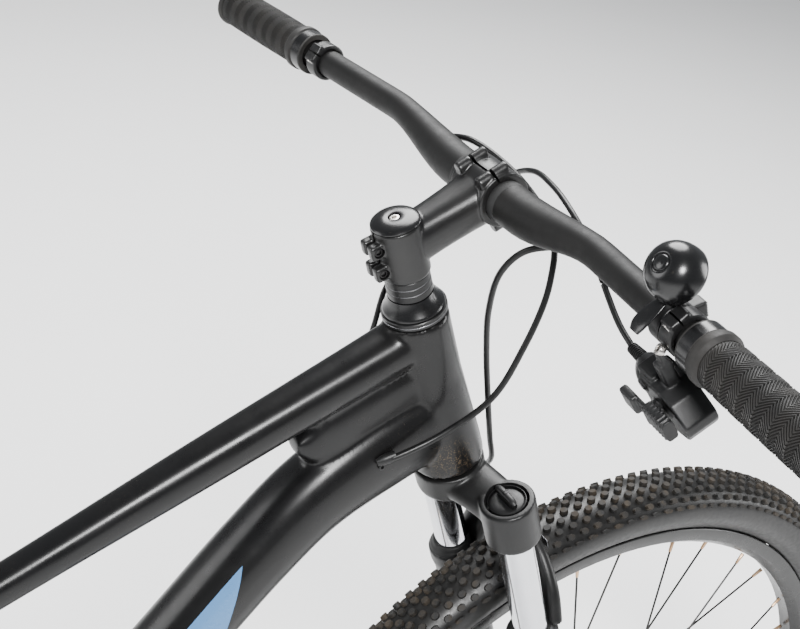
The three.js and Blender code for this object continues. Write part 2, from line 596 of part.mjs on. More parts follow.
// ---- Headset, stem and handlebar ----------------------------------------------------------------
function barPoint(y) {
  const blend = THREE.MathUtils.smoothstep(Math.abs(y), 40, 130);
  const beyond = Math.max(0, Math.abs(y) - 130);
  const x = BAR_CENTRE.x + 2.2 * blend - BACKSWEEP * beyond;
  return V(x, y, BAR_CENTRE.z + BAR_RISE * blend + UPSWEEP * beyond);
}

function barRadius(y) {
  return BAR_R + (BAR_END_R - BAR_R) * THREE.MathUtils.smoothstep(Math.abs(y), 45, 125);
}

function buildCockpit() {
  const bore = STEERER_R + GAP;
  const steererRing = (name, outline, finish) => {
    piece(steering, name, turned([...outline, outline[0]], 'z', 16), finish);
  };
  steererRing('headset_upper_cup', [[bore, 0], [25, 0], [25, 6.2], [bore, 6.2]], 'satin');
  steererRing('headset_cover', [[bore, 6.5], [23.6, 6.5], [22.8, 9], [18.2, 18.4], [17.4, 19.7], [bore, 19.7]], 'gloss');
  steererRing('stem_spacers', [[bore, 20], [17.2, 20], [17.2, 37.2], [bore, 37.2]], 'satin');

  const rise = Math.atan2(BAR_CENTRE.z - 59.5, BAR_CENTRE.x);
  const ahead = V(Math.cos(rise), 0, Math.sin(rise));
  const clampAt = V(BAR_CENTRE.x, 0, BAR_CENTRE.z);
  const steererClamp = rod(V(0, 0, 37.5), V(0, 0, 81), 18.6, 18);
  const arm = loft([
    { at: V(4, 0, 60), wide: 16, high: 18.5 },
    { at: V(30, 0, 63.8), wide: 17.5, high: 18 },
    { at: clampAt.clone().addScaledVector(ahead, -22), wide: 20, high: 18.5 },
    { at: clampAt.clone().addScaledVector(ahead, -8), wide: 21, high: 19 },
  ], SIDE, 12, 2.5);
  const sleeve = rod(V(BAR_CENTRE.x, -21, BAR_CENTRE.z), V(BAR_CENTRE.x, 21, BAR_CENTRE.z), 21, 20);
  const barHole = rod(V(BAR_CENTRE.x, -30, BAR_CENTRE.z), V(BAR_CENTRE.x, 30, BAR_CENTRE.z), BAR_R + GAP, 20);
  const half = (from, to) => {
    const box = block(V(from, -40, -60), V(to, 40, 60));
    return box.rotate([0, -THREE.MathUtils.radToDeg(rise), 0]).translate(clampAt.x, 0, clampAt.z);
  };
  const lugs = (from, to) => [14, -14].flatMap((y) => [21, -21].map((z) => {
    const lug = block(V(from, y - 5.5, z - 5.5), V(to, y + 5.5, z + 5.5));
    return lug.rotate([0, -THREE.MathUtils.radToDeg(rise), 0]).translate(clampAt.x, 0, clampAt.z);
  }));
  const ears = [1, -1].flatMap((side) => [44, 63].map((z) => {
    const low = Math.min(side * 1.2, side * 9);
    return block(V(-27, low, z), V(-12, low + 7.8, z + 12));
  }));
  const stemSlot = block(V(-40, -1, 30), V(-10, 1, 90));
  const stemBore = rod(V(0, 0, 30), V(0, 0, 90), bore, 16);
  const stemBody = join(steererClamp, arm, sleeve, ...ears, ...lugs(-14, 4));
  piece(steering, 'stem', cut(stemBody, stemBore, stemSlot, barHole, half(0, 60)), 'satin');
  const faceplate = cut(join(sleeve, ...lugs(-2, 14)), barHole, half(-60, 1));
  piece(steering, 'stem_faceplate', faceplate, 'satin');
  const cap = [[0, 81.3], [18.2, 81.3], [18.2, 82.6], [15, 84.4], [5.2, 85.6], [5.2, 84], [0, 84]];
  piece(steering, 'top_cap', turned(cap, 'z', 18), 'gloss');

  const stops = [0, 40, 62, 85, 108, 130, BAR_END];
  const everywhere = [...stops.slice(1).map((y) => -y).reverse(), ...stops];
  const stations = everywhere.map((y) => ({ at: barPoint(y), wide: barRadius(y), high: barRadius(y) }));
  piece(steering, 'handlebar', loft(stations, V(1, 0, 0), 14), 'frame');
}

// Frame of one handlebar end: origin at the grip's inner end, +y towards the left along the bar.
function barEnd(side) {
  const outward = barPoint(side * 300).sub(barPoint(side * 200)).normalize().multiplyScalar(side);
  const ahead = V(1, 0, 0).addScaledVector(outward, -outward.x).normalize();
  const group = placed(steering, barPoint(side * GRIP_START));
  const basis = new THREE.Matrix4().makeBasis(ahead, outward, ahead.clone().cross(outward));
  group.quaternion.setFromRotationMatrix(basis);
  return group;
}

function buildControls() {
  for (const side of [1, -1]) {
    const name = side > 0 ? 'left' : 'right';
    const end = barEnd(side);
    const inner = around(BAR_END_R, 12);
    const length = GRIP_LENGTH;
    const grip = turned([[0, length - 3], [inner, length - 3], [inner, 0], [17.4, 0], [17.4, 13],
      [18.6, 14], [18.6, 20], [16.6, 23], [16.6, length - 6], [17.6, length - 4], [16, length],
      [0, length]], 'y', 12);
    piece(end, `grip_${name}`, sided(grip, side), 'rubber');

    const lever = new THREE.Group();
    lever.rotation.y = rad(LEVER_DROP[name]);
    end.add(lever);
    const pivot = V(38, -3, 0);
    const band = ring(inner, 15.2, -21, -8, 'y', 12);
    const cheek = (z) => block(V(20, -18, z - 1.2), V(43, 4, z + 1.2));
    const mount = join(
      band,
      block(V(13.5, -21, -6), V(28, -8, 6)),
      rod(V(26, -72, 0), V(26, -9, 0), 7.5, 10),
      rod(V(26, -84, 0), V(26, -70, 0), 4, 8),
      cheek(6.5), cheek(-6.5),
      rod(V(pivot.x, pivot.y, -7), V(pivot.x, pivot.y, 7), 2.2, 8),
      rod(V(-12, -14.5, -9), V(-12, -14.5, 9), 5, 8),
    );
    const barRoom = rod(V(0, -30, 0), V(0, 0, 0), inner, 12);
    const bladeRoom = block(V(33.5, -20, -5.2), V(45, 6, 5.2));
    const pin = rod(V(pivot.x, pivot.y, -7), V(pivot.x, pivot.y, 7), 2.2, 8);
    piece(lever, `brake_mount_${name}`, sided(join(cut(mount, barRoom, bladeRoom), pin), side), 'satin');

    const blade = join(
      rod(V(pivot.x, pivot.y, -4.8), V(pivot.x, pivot.y, 4.8), 5, 12),
      loft([
        { at: V(39, -2, 0), wide: 4.2, high: 4.8 },
        { at: V(50, 9, 0), wide: 4.2, high: 4.8 },
        { at: V(61, 26, 0), wide: 3.8, high: 5 },
        { at: V(67, 50, 0), wide: 3.4, high: 6 },
        { at: V(67, 76, 0), wide: 3.2, high: 6.4 },
        { at: V(71, 92, 0), wide: 3.2, high: 6 },
        { at: V(78, 99, 0), wide: 3, high: 4.5 },
      ], V(1, 0, 0), 8),
    );
    const eye = rod(V(pivot.x, pivot.y, -9), V(pivot.x, pivot.y, 9), 2.5, 8);
    piece(lever, `brake_lever_${name}`, sided(cut(blade, eye), side), 'satin');
    if (side < 0) {
      buildShifter(end);
      buildBell(end);
    }
  }
}

// Trigger shifter under the right bar end, behind the brake mount, built with +y outward.
function buildShifter(end) {
  const shifter = new THREE.Group();
  shifter.rotation.y = rad(SHIFTER_DROP);
  end.add(shifter);
  const housing = join(
    loft([
      { at: V(40, -52, -20), wide: 9, high: 8 },
      { at: V(41, -44, -21), wide: 15, high: 11.5 },
      { at: V(43, -10, -21), wide: 18, high: 12 },
      { at: V(48, 6, -20), wide: 15, high: 11 },
      { at: V(50, 10, -20), wide: 11, high: 8 },
    ], V(1, 0, 0), 12, 3),
    rod(V(39, -70, -19), V(40, -50, -20), 4, 12, 7),
    rod(V(46, -18, -36), V(46, -18, -30), 6, 12),
    rod(V(46, -18, -44), V(46, -18, -30), 2.2, 10),
    block(V(8, -20, -26), V(30, -10, -15)),
  );
  const bandRoom = rod(V(0, -40, 0), V(0, 20, 0), 19, 16);
  piece(shifter, 'shifter_body', sided(cut(housing, bandRoom), -1), 'satin');

  const hole = rod(V(46, -18, -60), V(46, -18, -20), 2.2 + GAP, 10);
  const thumb = join(
    rod(V(46, -18, -39), V(46, -18, -36.3), 6, 12),
    block(V(30, -14, -39), V(46, -8, -36.3)),
    block(V(25, -12, -46), V(43, 12, -36.5)),
  );
  const thumbRoom = rod(V(46, -18, -50), V(46, -18, -39.2), 8, 14);
  piece(shifter, 'shifter_thumb_paddle', sided(cut(thumb, hole, thumbRoom), -1), 'satin');
  const release = join(
    rod(V(46, -18, -42.3), V(46, -18, -39.4), 6, 12),
    block(V(36, -42, -42.3), V(50, -20, -39.4)),
    block(V(34, -44, -46), V(50, -28, -39.4)),
  );
  piece(shifter, 'shifter_release_paddle', sided(cut(release, hole), -1), 'satin');
}

// Bell on the right bar end, inboard of the brake mount, built with +y outward.
function buildBell(end) {
  const axis = V(-0.6, 0.1, 0.79).normalize();
  const rim = V(8, -28, 31);
  const band = ring(around(BAR_END_R, 12), 14.6, -34, -22.5, 'y', 12);
  const post = rod(rim.clone().addScaledVector(axis, -5), rim.clone().addScaledVector(axis, 19.6), 3.5, 8);
  const arm = rod(V(3.5, -28, 12.5), V(9, -28, 29), 5.5, 8);
  const foot = rod(rim.clone().addScaledVector(axis, -4), rim.clone().addScaledVector(axis, 3), 9, 12);
  const screw = block(V(9, -34, -5), V(22, -22.5, 8));
  const room = rod(V(0, -50, 0), V(0, 0, 0), around(BAR_END_R, 12), 12);
  piece(end, 'bell_base', sided(cut(join(band, post, arm, foot, screw), room), -1), 'satin');

  const dome = turned([[0, 20], [7, 20], [12, 18.4], [15.6, 13.5], [17.2, 6], [17.2, 0], [19.2, 0], [19.4, 5],
    [18.4, 11], [16.2, 16.5], [12.5, 20.4], [8, 22], [0, 22.3]], 'y', 14);
  const turn = new THREE.Quaternion().setFromUnitVectors(V(0, 1, 0), axis);
  const raised = geometryOf(dome).applyQuaternion(turn).translate(rim.x, rim.y, rim.z);
  piece(end, 'bell_dome', sided(solid(raised), -1), 'gloss');

  const striker = loft([
    { at: V(-4.5, -28, 18.3), wide: 4, high: 1.2 },
    { at: V(-12, -29, 14.5), wide: 6, high: 1.2 },
    { at: V(-22, -30, 8), wide: 6.5, high: 1.3 },
    { at: V(-26, -30, 4), wide: 4, high: 1.2 },
  ], SIDE, 8);
  piece(end, 'bell_striker', sided(striker, -1), 'gloss');
}

// ---- Cables, laid in the steering frame ---------------------------------------------------------
function buildCables() {
  const rearBrake = [[91, 166, 64.5], [90, 130, 62], [94, 95, 66], [101, 60, 74], [106, 25, 68], [107, -5, 58],
    [104, -32, 45], [97, -47, 32], [88, -53, 16], [77, -56, -2], [54, -57, -31], [24, -52, -66],
    [-17, -41, -86], [-52, -34, -91], [-62, -31, -92]];
  piece(steering, 'rear_brake_hose', cable(rearBrake, 2.5), 'hose');
  const frontBrake = [[85, -165.5, 62], [91, -135, 67], [97, -110, 62], [95, -85, 54], [84, -66, 51], [70, -50, 45],
    [57, -36, 26], [50, -20, -15], [47, -10, -59], [45, 0, -118], [46, 12, -170], [51, 28, -210],
    [52, 60, -250], [40, 84, -285], [22, 93, -330], [10, 92, -400], [0, 84, -480], [-12, 76, -560],
    [-20, 68, -585]];
  piece(steering, 'front_brake_hose', cable(frontBrake, 2.5, 34), 'hose');
  const shift = [[66.6, -178.4, 43], [71, -160, 47], [82, -130, 56], [91, -105, 69], [98, -75, 79],
    [108, -38, 77], [115, 0, 68], [110, 34, 48], [82, 50, 28], [42, 49, 12], [0, 39, 3], [-23, 31, -22],
    [-38, 26, -38]];
  piece(steering, 'shift_cable', cable(shift, 2.2), 'hose');
}

buildFrame();
buildRearEnd();
buildDrivetrain();
buildSeat();
buildFork();
buildCockpit();
buildControls();
buildCables();

export default bike;
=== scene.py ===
import math
import bpy
import bmesh
from mathutils import Matrix, Vector


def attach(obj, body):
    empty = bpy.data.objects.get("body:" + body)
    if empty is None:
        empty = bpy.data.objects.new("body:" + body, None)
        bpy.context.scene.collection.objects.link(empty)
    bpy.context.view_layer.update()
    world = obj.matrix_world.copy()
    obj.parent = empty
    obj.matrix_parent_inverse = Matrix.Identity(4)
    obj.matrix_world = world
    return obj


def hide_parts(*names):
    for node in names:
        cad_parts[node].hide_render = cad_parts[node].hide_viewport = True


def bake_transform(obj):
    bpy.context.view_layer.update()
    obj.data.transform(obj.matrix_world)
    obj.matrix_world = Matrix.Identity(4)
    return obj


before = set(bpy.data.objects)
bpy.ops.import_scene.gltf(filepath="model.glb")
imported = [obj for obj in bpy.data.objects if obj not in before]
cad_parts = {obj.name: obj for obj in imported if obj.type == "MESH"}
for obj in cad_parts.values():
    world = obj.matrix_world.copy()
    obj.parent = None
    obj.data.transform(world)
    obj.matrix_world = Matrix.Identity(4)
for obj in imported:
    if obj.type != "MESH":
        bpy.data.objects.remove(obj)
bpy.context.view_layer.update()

# ---- Camera --------------------------------------------------------------------------------------
RIGHT = Vector((0.855728, -0.496172, 0.146771))
DOWN = Vector((-0.126031, -0.474985, -0.870922))
AHEAD = Vector((0.501841, 0.726775, -0.468992))
camera_data = bpy.data.cameras.new("camera")
camera_data.sensor_width = 36.0
camera_data.lens = 64.27
camera_data.clip_start = 0.02
camera = bpy.data.objects.new("camera", camera_data)
camera.matrix_world = Matrix(((RIGHT.x, -DOWN.x, -AHEAD.x, -0.22612), (RIGHT.y, -DOWN.y, -AHEAD.y, -0.76095),
                              (RIGHT.z, -DOWN.z, -AHEAD.z, 1.44553), (0, 0, 0, 1)))
bpy.context.scene.collection.objects.link(camera)
bpy.context.scene.camera = camera

# ---- Shared dimensions, in millimetres -----------------------------------------------------------
TILT = math.radians(21.5)
MM = Matrix.Scale(0.001, 4)
S = MM @ Matrix.Translation((311.899, 0, 955.996)) @ Matrix.Rotation(-TILT, 4, "Y")
BB = Vector((-159.65, 0, 307))
FRONT = Vector((595.25, 0, 369))
REAR = Vector((-595.25, 0, 369))
HANGER_X, HANGER_Z = -602, 337  # derailleur bolt
CRANK = 170
LINK = 12.7  # chain pitch
SIDE = Vector((0, 1, 0))
X_AXIS = Vector((1, 0, 0))
SEAT_DIR = Vector((-math.cos(math.radians(73.5)), 0, math.sin(math.radians(73.5))))
BAR = Vector((77.6, 0, 70.6))


def along_seat(d):
    return BB + SEAT_DIR * d


def steered(x, y, z):
    return 1000 * (S @ Vector((x, y, z)))


def smoothstep(v, a, b):
    t = min(max((v - a) / (b - a), 0), 1)
    return t * t * (3 - 2 * t)


def bar_point(y):
    t = smoothstep(abs(y), 40, 130)
    beyond = max(0, abs(y) - 130)
    return Vector((BAR.x + 2.2 * t - 0.108 * beyond, y, BAR.z + 12.8 * t + 0.045 * beyond))


def bar_radius(y):
    return 15.9 - 4.8 * smoothstep(abs(y), 45, 125)


# ---- Mesh building -------------------------------------------------------------------------------
def spline(points, per_span):
    """Centripetal Catmull-Rom through points, which are vectors of any length."""
    if per_span < 2:
        return [list(p) for p in points]
    out = []
    n = len(points)
    for i in range(n - 1):
        p1, p2 = points[i], points[i + 1]
        p0 = points[i - 1] if i else [2 * a - b for a, b in zip(p1, p2)]
        p3 = points[i + 2] if i + 2 < n else [2 * b - a for a, b in zip(p1, p2)]
        t = [0.0]
        for a, b in ((p0, p1), (p1, p2), (p2, p3)):
            t.append(t[-1] + max(math.dist(a[:3], b[:3]), 1e-6) ** 0.5)
        for s in range(per_span):
            u = t[1] + (t[2] - t[1]) * s / per_span
            c = []
            for k in range(len(p1)):
                a1 = (p0[k] * (t[1] - u) + p1[k] * (u - t[0])) / (t[1] - t[0])
                a2 = (p1[k] * (t[2] - u) + p2[k] * (u - t[1])) / (t[2] - t[1])
                a3 = (p2[k] * (t[3] - u) + p3[k] * (u - t[2])) / (t[3] - t[2])
                b1 = (a1 * (t[2] - u) + a2 * (u - t[0])) / (t[2] - t[0])
                b2 = (a2 * (t[3] - u) + a3 * (u - t[1])) / (t[3] - t[1])
                c.append((b1 * (t[2] - u) + b2 * (u - t[1])) / (t[2] - t[1]))
            out.append(c)
    out.append(list(points[-1]))
    return out


class Part:
    """Gathers closed bodies into one mesh; m places each in the row frame in metres."""

    def __init__(self, m=MM):
        self.verts, self.faces, self.slots, self.m, self.slot = [], [], [], m, 0
        self.bodies = []

    def add(self, verts, faces, m=None):
        base = len(self.verts)
        m = self.m if m is None else m
        self.bodies.append((base, len(self.faces)))
        self.verts += [m @ Vector(v) for v in verts]
        self.faces += [[base + i for i in f] for f in faces]
        self.slots += [self.slot] * len(faces)
        return self

    def rings(self, rings, closed=False, m=None):
        """Skin over rings of points, capped at both ends or closed into a loop."""
        n = len(rings[0])
        verts = [v for r in rings for v in r]
        faces = []
        count = len(rings)
        for i in range(count if closed else count - 1):
            a, b = i * n, ((i + 1) % count) * n
            for k in range(n):
                k2 = (k + 1) % n
                faces.append((a + k, a + k2, b + k2, b + k))
        if not closed:
            faces.append(tuple(range(n - 1, -1, -1)))
            faces.append(tuple((count - 1) * n + k for k in range(n)))
        return self.add(verts, faces, m)

    def lathe(self, profile, n=48, axis="z", m=None, closed=False):
        """profile of (radius, height) about the axis; ends on the axis are closed by a cap."""
        rings = []
        for r, h in profile:
            ring = []
            for k in range(n):
                a = 2 * math.pi * k / n
                c, s = r * math.cos(a), r * math.sin(a)
                ring.append((c, s, h) if axis == "z" else (c, h, s))
            rings.append(ring)
        return self.rings(rings, closed=closed, m=m)

    def sweep(self, stations, side=SIDE, n=24, power=2.0, per_span=6, m=None, round_ends=0.0):
        """stations of (x, y, z, half width, half height) on a smooth path."""
        path = spline([list(s) for s in stations], per_span)
        if round_ends:
            first, last = path[0], path[-1]
            d0 = (Vector(path[0][:3]) - Vector(path[1][:3])).normalized()
            d1 = (Vector(path[-1][:3]) - Vector(path[-2][:3])).normalized()
            head, tail = [], []
            for a in (80, 60, 40, 20):
                c, s = math.cos(math.radians(a)), math.sin(math.radians(a))
                p = Vector(first[:3]) + d0 * round_ends * s
                head.append([*p, first[3] * c, first[4] * c])
                q = Vector(last[:3]) + d1 * round_ends * s
                tail.insert(0, [*q, last[3] * c, last[4] * c])
            path = head + path + tail
        rings = []
        power = 2 / power
        for i, p in enumerate(path):
            a = Vector(path[max(i - 1, 0)][:3])
            b = Vector(path[min(i + 1, len(path) - 1)][:3])
            t = (b - a).normalized()
            across = (side - t * side.dot(t)).normalized()
            over = t.cross(across)
            ring = []
            for k in range(n):
                w = 2 * math.pi * k / n
                c, s = math.cos(w), math.sin(w)
                c = math.copysign(abs(c) ** power, c) * p[3]
                s = math.copysign(abs(s) ** power, s) * p[4]
                ring.append(Vector(p[:3]) + across * c + over * s)
            rings.append(ring)
        return self.rings(rings, m=m)

    def rod(self, a, b, r, n=24, end=None, bevel=0.6, m=None):
        """Round bar from a to b with broken edges."""
        a, b = Vector(a), Vector(b)
        end = r if end is None else end
        length = (b - a).length
        e = min(bevel, r * 0.45, end * 0.45, length * 0.4)
        turn = (b - a).to_track_quat("Z", "Y").to_matrix().to_4x4()
        m = self.m if m is None else m
        profile = [(r - e, 0), (r - 0.3 * e, 0.3 * e), (r, e), (end, length - e),
                   (end - 0.3 * e, length - 0.3 * e),
                   (end - e, length)]
        return self.lathe(profile, n, m=m @ Matrix.Translation(a) @ turn)

    def tube(self, points, r, n, per_span):
        """Round cord; its cross-sections are set out from a direction that no run follows."""
        return self.sweep([(*p, r, r) for p in points], Vector((0.31, 0.87, 0.37)), n, per_span=per_span)

    def solid(self, bm, m):
        """Adds a bmesh and frees it."""
        bm.verts.index_update()
        self.add([v.co.copy() for v in bm.verts], [[v.index for v in f.verts] for f in bm.faces], m)
        bm.free()
        return self

    def box(self, low, high, r, seg, m=None):
        """Block between two corners with rounded edges."""
        bm = bmesh.new()
        bmesh.ops.create_cube(bm, size=1)
        low, high = Vector(low), Vector(high)
        for v in bm.verts:
            v.co = Vector([low[i] + (v.co[i] + 0.5) * (high[i] - low[i]) for i in range(3)])
        bmesh.ops.bevel(bm, geom=bm.edges[:], offset=r, segments=seg, profile=0.6, affect="EDGES")
        return self.solid(bm, m)

    def prism(self, outline, low, high, r=0.6, seg=2, m=None):
        """x-z outline between two y levels with rounded rims."""
        bm = bmesh.new()
        face = bm.faces.new([bm.verts.new((x, low, z)) for x, z in outline])
        ext = bmesh.ops.extrude_face_region(bm, geom=[face])
        for v in ext["geom"]:
            if isinstance(v, bmesh.types.BMVert):
                v.co.y = high
        if r:
            rims = [e for e in bm.edges if abs(e.verts[0].co.y - e.verts[1].co.y) < 1e-6]
            bmesh.ops.bevel(bm, geom=rims, offset=r, segments=seg, profile=0.6, affect="EDGES")
        return self.solid(bm, m)

    def bolt(self, at, axis, r=3.6, depth=2.4, height=3.2, m=None):
        """Socket head screw: rounded rim and a hexagonal recess, head ending at `at`."""
        at, axis = Vector(at), Vector(axis).normalized()
        turn = axis.to_track_quat("Z", "Y").to_matrix().to_4x4()
        place = (self.m if m is None else m) @ Matrix.Translation(at) @ turn
        sides = 24
        rings = []

        def circle(radius, h, hexed):
            out = []
            for k in range(sides):
                a = 2 * math.pi * k / sides
                q = radius
                if hexed:
                    # angle from the middle of the nearest flat
                    turn = (a + math.pi / 6) % (math.pi / 3) - math.pi / 6
                    q = radius * math.cos(math.pi / 6) / math.cos(turn)
                out.append((q * math.cos(a), q * math.sin(a), h))
            return out
        for radius, h, hexed in ((r * 0.9, -height, False), (r, -height + 0.4, False), (r, -0.5, False),
                                 (r * 0.94, -0.12, False),
                                 (r * 0.86, 0, False), (r * 0.6, 0, True), (r * 0.55, -0.3, True),
                                 (r * 0.54, -depth, True),
                                 (r * 0.2, -depth - 0.4, True)):
            rings.append(circle(radius, h, hexed))
        return self.rings(rings, m=place)

    def make(self, name, body, mats, replaces=(), slot=None, sharp=38, remesh=0.0, smooth=0):
        """Makes the object and binds it to its body; remesh (mm) and smooth weld its bodies into one skin."""
        mesh = bpy.data.meshes.new(name)
        mesh.from_pydata(self.verts, [], self.faces)
        mesh.update()
        bm = bmesh.new()
        bm.from_mesh(mesh)
        bmesh.ops.recalc_face_normals(bm, faces=bm.faces[:])
        bm.to_mesh(mesh)
        bm.free()
        for m in mats:
            mesh.materials.append(m)
        if len(mats) > 1:
            mesh.polygons.foreach_set("material_index", self.slots)
        obj = bpy.data.objects.new(name, mesh)
        bpy.context.scene.collection.objects.link(obj)
        if remesh:
            mod = obj.modifiers.new("skin", "REMESH")
            mod.mode, mod.voxel_size, mod.use_smooth_shade = "VOXEL", remesh * 0.001, True
        if smooth:
            mod = obj.modifiers.new("fillet", "SMOOTH")
            mod.factor, mod.iterations = 0.5, smooth
        if obj.modifiers:
            shaped = bpy.data.meshes.new_from_object(obj.evaluated_get(bpy.context.evaluated_depsgraph_get()))
            obj.modifiers.clear()
            obj.data = shaped
            shaped.name = name
            if not shaped.materials:
                for m in mats:
                    shaped.materials.append(m)
        obj.data.shade_smooth()
        if not remesh and sharp:
            obj.data.set_sharp_from_angle(angle=math.radians(sharp))
        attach(obj, body)
        if replaces:
            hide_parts(*replaces)
        return obj


# ---- Materials -----------------------------------------------------------------------------------
class Nodes:
    """Short hand for a material's node tree."""

    def __init__(self, name):
        self.mat = bpy.data.materials.new(name)
        self.mat.use_nodes = True
        self.tree = self.mat.node_tree
        self.bsdf = next(n for n in self.tree.nodes if n.type == "BSDF_PRINCIPLED")
        self.coord = self.new("ShaderNodeTexCoord").outputs["Object"]

    def new(self, kind, inputs=(), **settings):
        node = self.tree.nodes.new(kind)
        for k, v in settings.items():
            setattr(node, k, v)
        for k, v in dict(inputs).items():
            if isinstance(v, bpy.types.NodeSocket):
                self.tree.links.new(v, node.inputs[k])
            else:
                node.inputs[k].default_value = v
        return node

    def stretched(self, scale):
        return self.new("ShaderNodeMapping", {"Vector": self.coord, "Scale": scale}).outputs["Vector"]

    def noise(self, scale, detail=4.0, rough=0.55, vector=None):
        node = self.new("ShaderNodeTexNoise",
                        {"Vector": vector or self.coord, "Scale": scale, "Detail": detail,
                         "Roughness": rough})
        return node.outputs["Fac"]

    def voronoi(self, scale):
        return self.new("ShaderNodeTexVoronoi", {"Vector": self.coord, "Scale": scale}).outputs["Distance"]

    def math(self, op, a, b=0.0, clamp=False):
        return self.new("ShaderNodeMath", {0: a, 1: b}, operation=op, use_clamp=clamp).outputs[0]

    def span(self, value, low, high, a, b):
        node = self.new("ShaderNodeMapRange",
                        {"Value": value, "From Min": low, "From Max": high, "To Min": a, "To Max": b})
        return node.outputs["Result"]

    def mix(self, factor, a, b):
        node = self.new("ShaderNodeMix", data_type="RGBA")
        for k, v in ((0, factor), (6, a), (7, b)):
            if isinstance(v, bpy.types.NodeSocket):
                self.tree.links.new(v, node.inputs[k])
            else:
                node.inputs[k].default_value = v if k == 0 else (*v, 1)
        return node.outputs[2]

    def bump(self, height, strength, distance, normal=None):
        inputs = {"Height": height, "Strength": strength, "Distance": distance}
        if normal:
            inputs["Normal"] = normal
        return self.new("ShaderNodeBump", inputs).outputs["Normal"]

    def set(self, name, value):
        if isinstance(value, bpy.types.NodeSocket):
            self.tree.links.new(value, self.bsdf.inputs[name])
        else:
            self.bsdf.inputs[name].default_value = value


DUST = (0.30, 0.25, 0.19)
GRAIN_DEPTH = 0.0002  # metres


def coated(name, base, tint, rough, spread=0.06, coat=0.0, coat_rough=0.08, fine=900, grain=0.08, cloud=14,
           dust=0.0,
           specular=0.3, marks=None):
    """Painted, anodised or moulded surface: colour cloud, marks in the gloss, fine grain and dust."""
    n = Nodes(name)
    slow = n.noise(cloud, 3)
    colour = n.mix(n.span(slow, 0.35, 0.68, 0, 1), base, tint)
    fine_noise = n.noise(fine, 2)
    gloss = n.noise(cloud * 6, 5, 0.65)
    roughness = n.span(gloss, 0.3, 0.75, max(rough - spread, 0.02), rough + spread)
    if dust:
        specks = n.span(n.noise(fine * 0.7, 3, 0.7), 0.64, 0.70, 0, 1)
        patch = n.span(n.noise(cloud * 1.7, 4), 0.5, 0.7, 0, 1)
        amount = n.math("MULTIPLY", n.math("MULTIPLY", specks, patch, True), dust, True)
        colour = n.mix(amount, colour, DUST)
        roughness = n.math("ADD", roughness, n.math("MULTIPLY", amount, 0.4))
    if marks:
        colour, roughness = marks(n, colour, roughness)
    n.set("Base Color", colour)
    n.set("Roughness", roughness)
    n.set("Specular IOR Level", specular)
    if coat:
        n.set("Coat Weight", coat)
        n.set("Coat Roughness", coat_rough)
    n.set("Normal", n.bump(fine_noise, grain, GRAIN_DEPTH))
    return n.mat


def steel(name, base, tint, rough, stretch=(30, 30, 30), grain=0.12):
    """Bare metal with a directional grind and slight staining."""
    n = Nodes(name)
    grind = n.noise(40, 4, vector=n.stretched(stretch))
    n.set("Base Color", n.mix(n.span(n.noise(22, 4), 0.35, 0.7, 0, 1), base, tint))
    n.set("Roughness", n.span(grind, 0.3, 0.7, max(rough - 0.08, 0.02), rough + 0.1))
    n.set("Metallic", 1.0)
    n.set("Normal", n.bump(grind, grain, GRAIN_DEPTH))
    return n.mat


def tyre_material(name):
    """Tread rubber with patches of dried brown dirt."""
    n = Nodes(name)
    dirt_noise = n.noise(60, 6, 0.7)
    clumps = n.noise(18, 3)
    dirt = n.math("MULTIPLY", n.span(dirt_noise, 0.42, 0.62, 0, 1), n.span(clumps, 0.36, 0.6, 0.25, 1), True)
    n.set("Base Color", n.mix(dirt, (0.007, 0.0068, 0.0065), (0.036, 0.027, 0.018)))
    n.set("Specular IOR Level", 0.3)
    n.set("Roughness", n.span(dirt_noise, 0.3, 0.7, 0.5, 0.85))
    n.set("Normal", n.bump(n.noise(900, 3), 0.35, 0.0004, n.bump(dirt_noise, 0.2, 0.0008)))
    return n.mat


def rubber_material(name, base, tint, rough, grain=0.3, fine=1300):
    """Dull rubber or hose jacket with a fine grain."""
    n = Nodes(name)
    n.set("Base Color", n.mix(n.span(n.noise(45, 5), 0.35, 0.7, 0, 1), base, tint))
    n.set("Specular IOR Level", 0.3)
    n.set("Roughness", n.span(n.noise(220, 3), 0.3, 0.7, rough - 0.08, rough + 0.08))
    n.set("Normal", n.bump(n.noise(fine, 2), grain, GRAIN_DEPTH))
    return n.mat


def leather_material(name):
    """Saddle cover: pebbled and slightly creased."""
    n = Nodes(name)
    cells = n.voronoi(620)
    wrinkle = n.noise(90, 5, 0.6)
    n.set("Base Color", n.mix(n.span(wrinkle, 0.35, 0.7, 0, 1), (0.008, 0.008, 0.0085),
                              (0.016, 0.0155, 0.015)))
    n.set("Roughness", n.span(wrinkle, 0.3, 0.7, 0.48, 0.66))
    n.set("Sheen Weight", 0.15)
    n.set("Normal", n.bump(cells, 0.45, 0.0004, n.bump(wrinkle, 0.2, 0.0006)))
    return n.mat


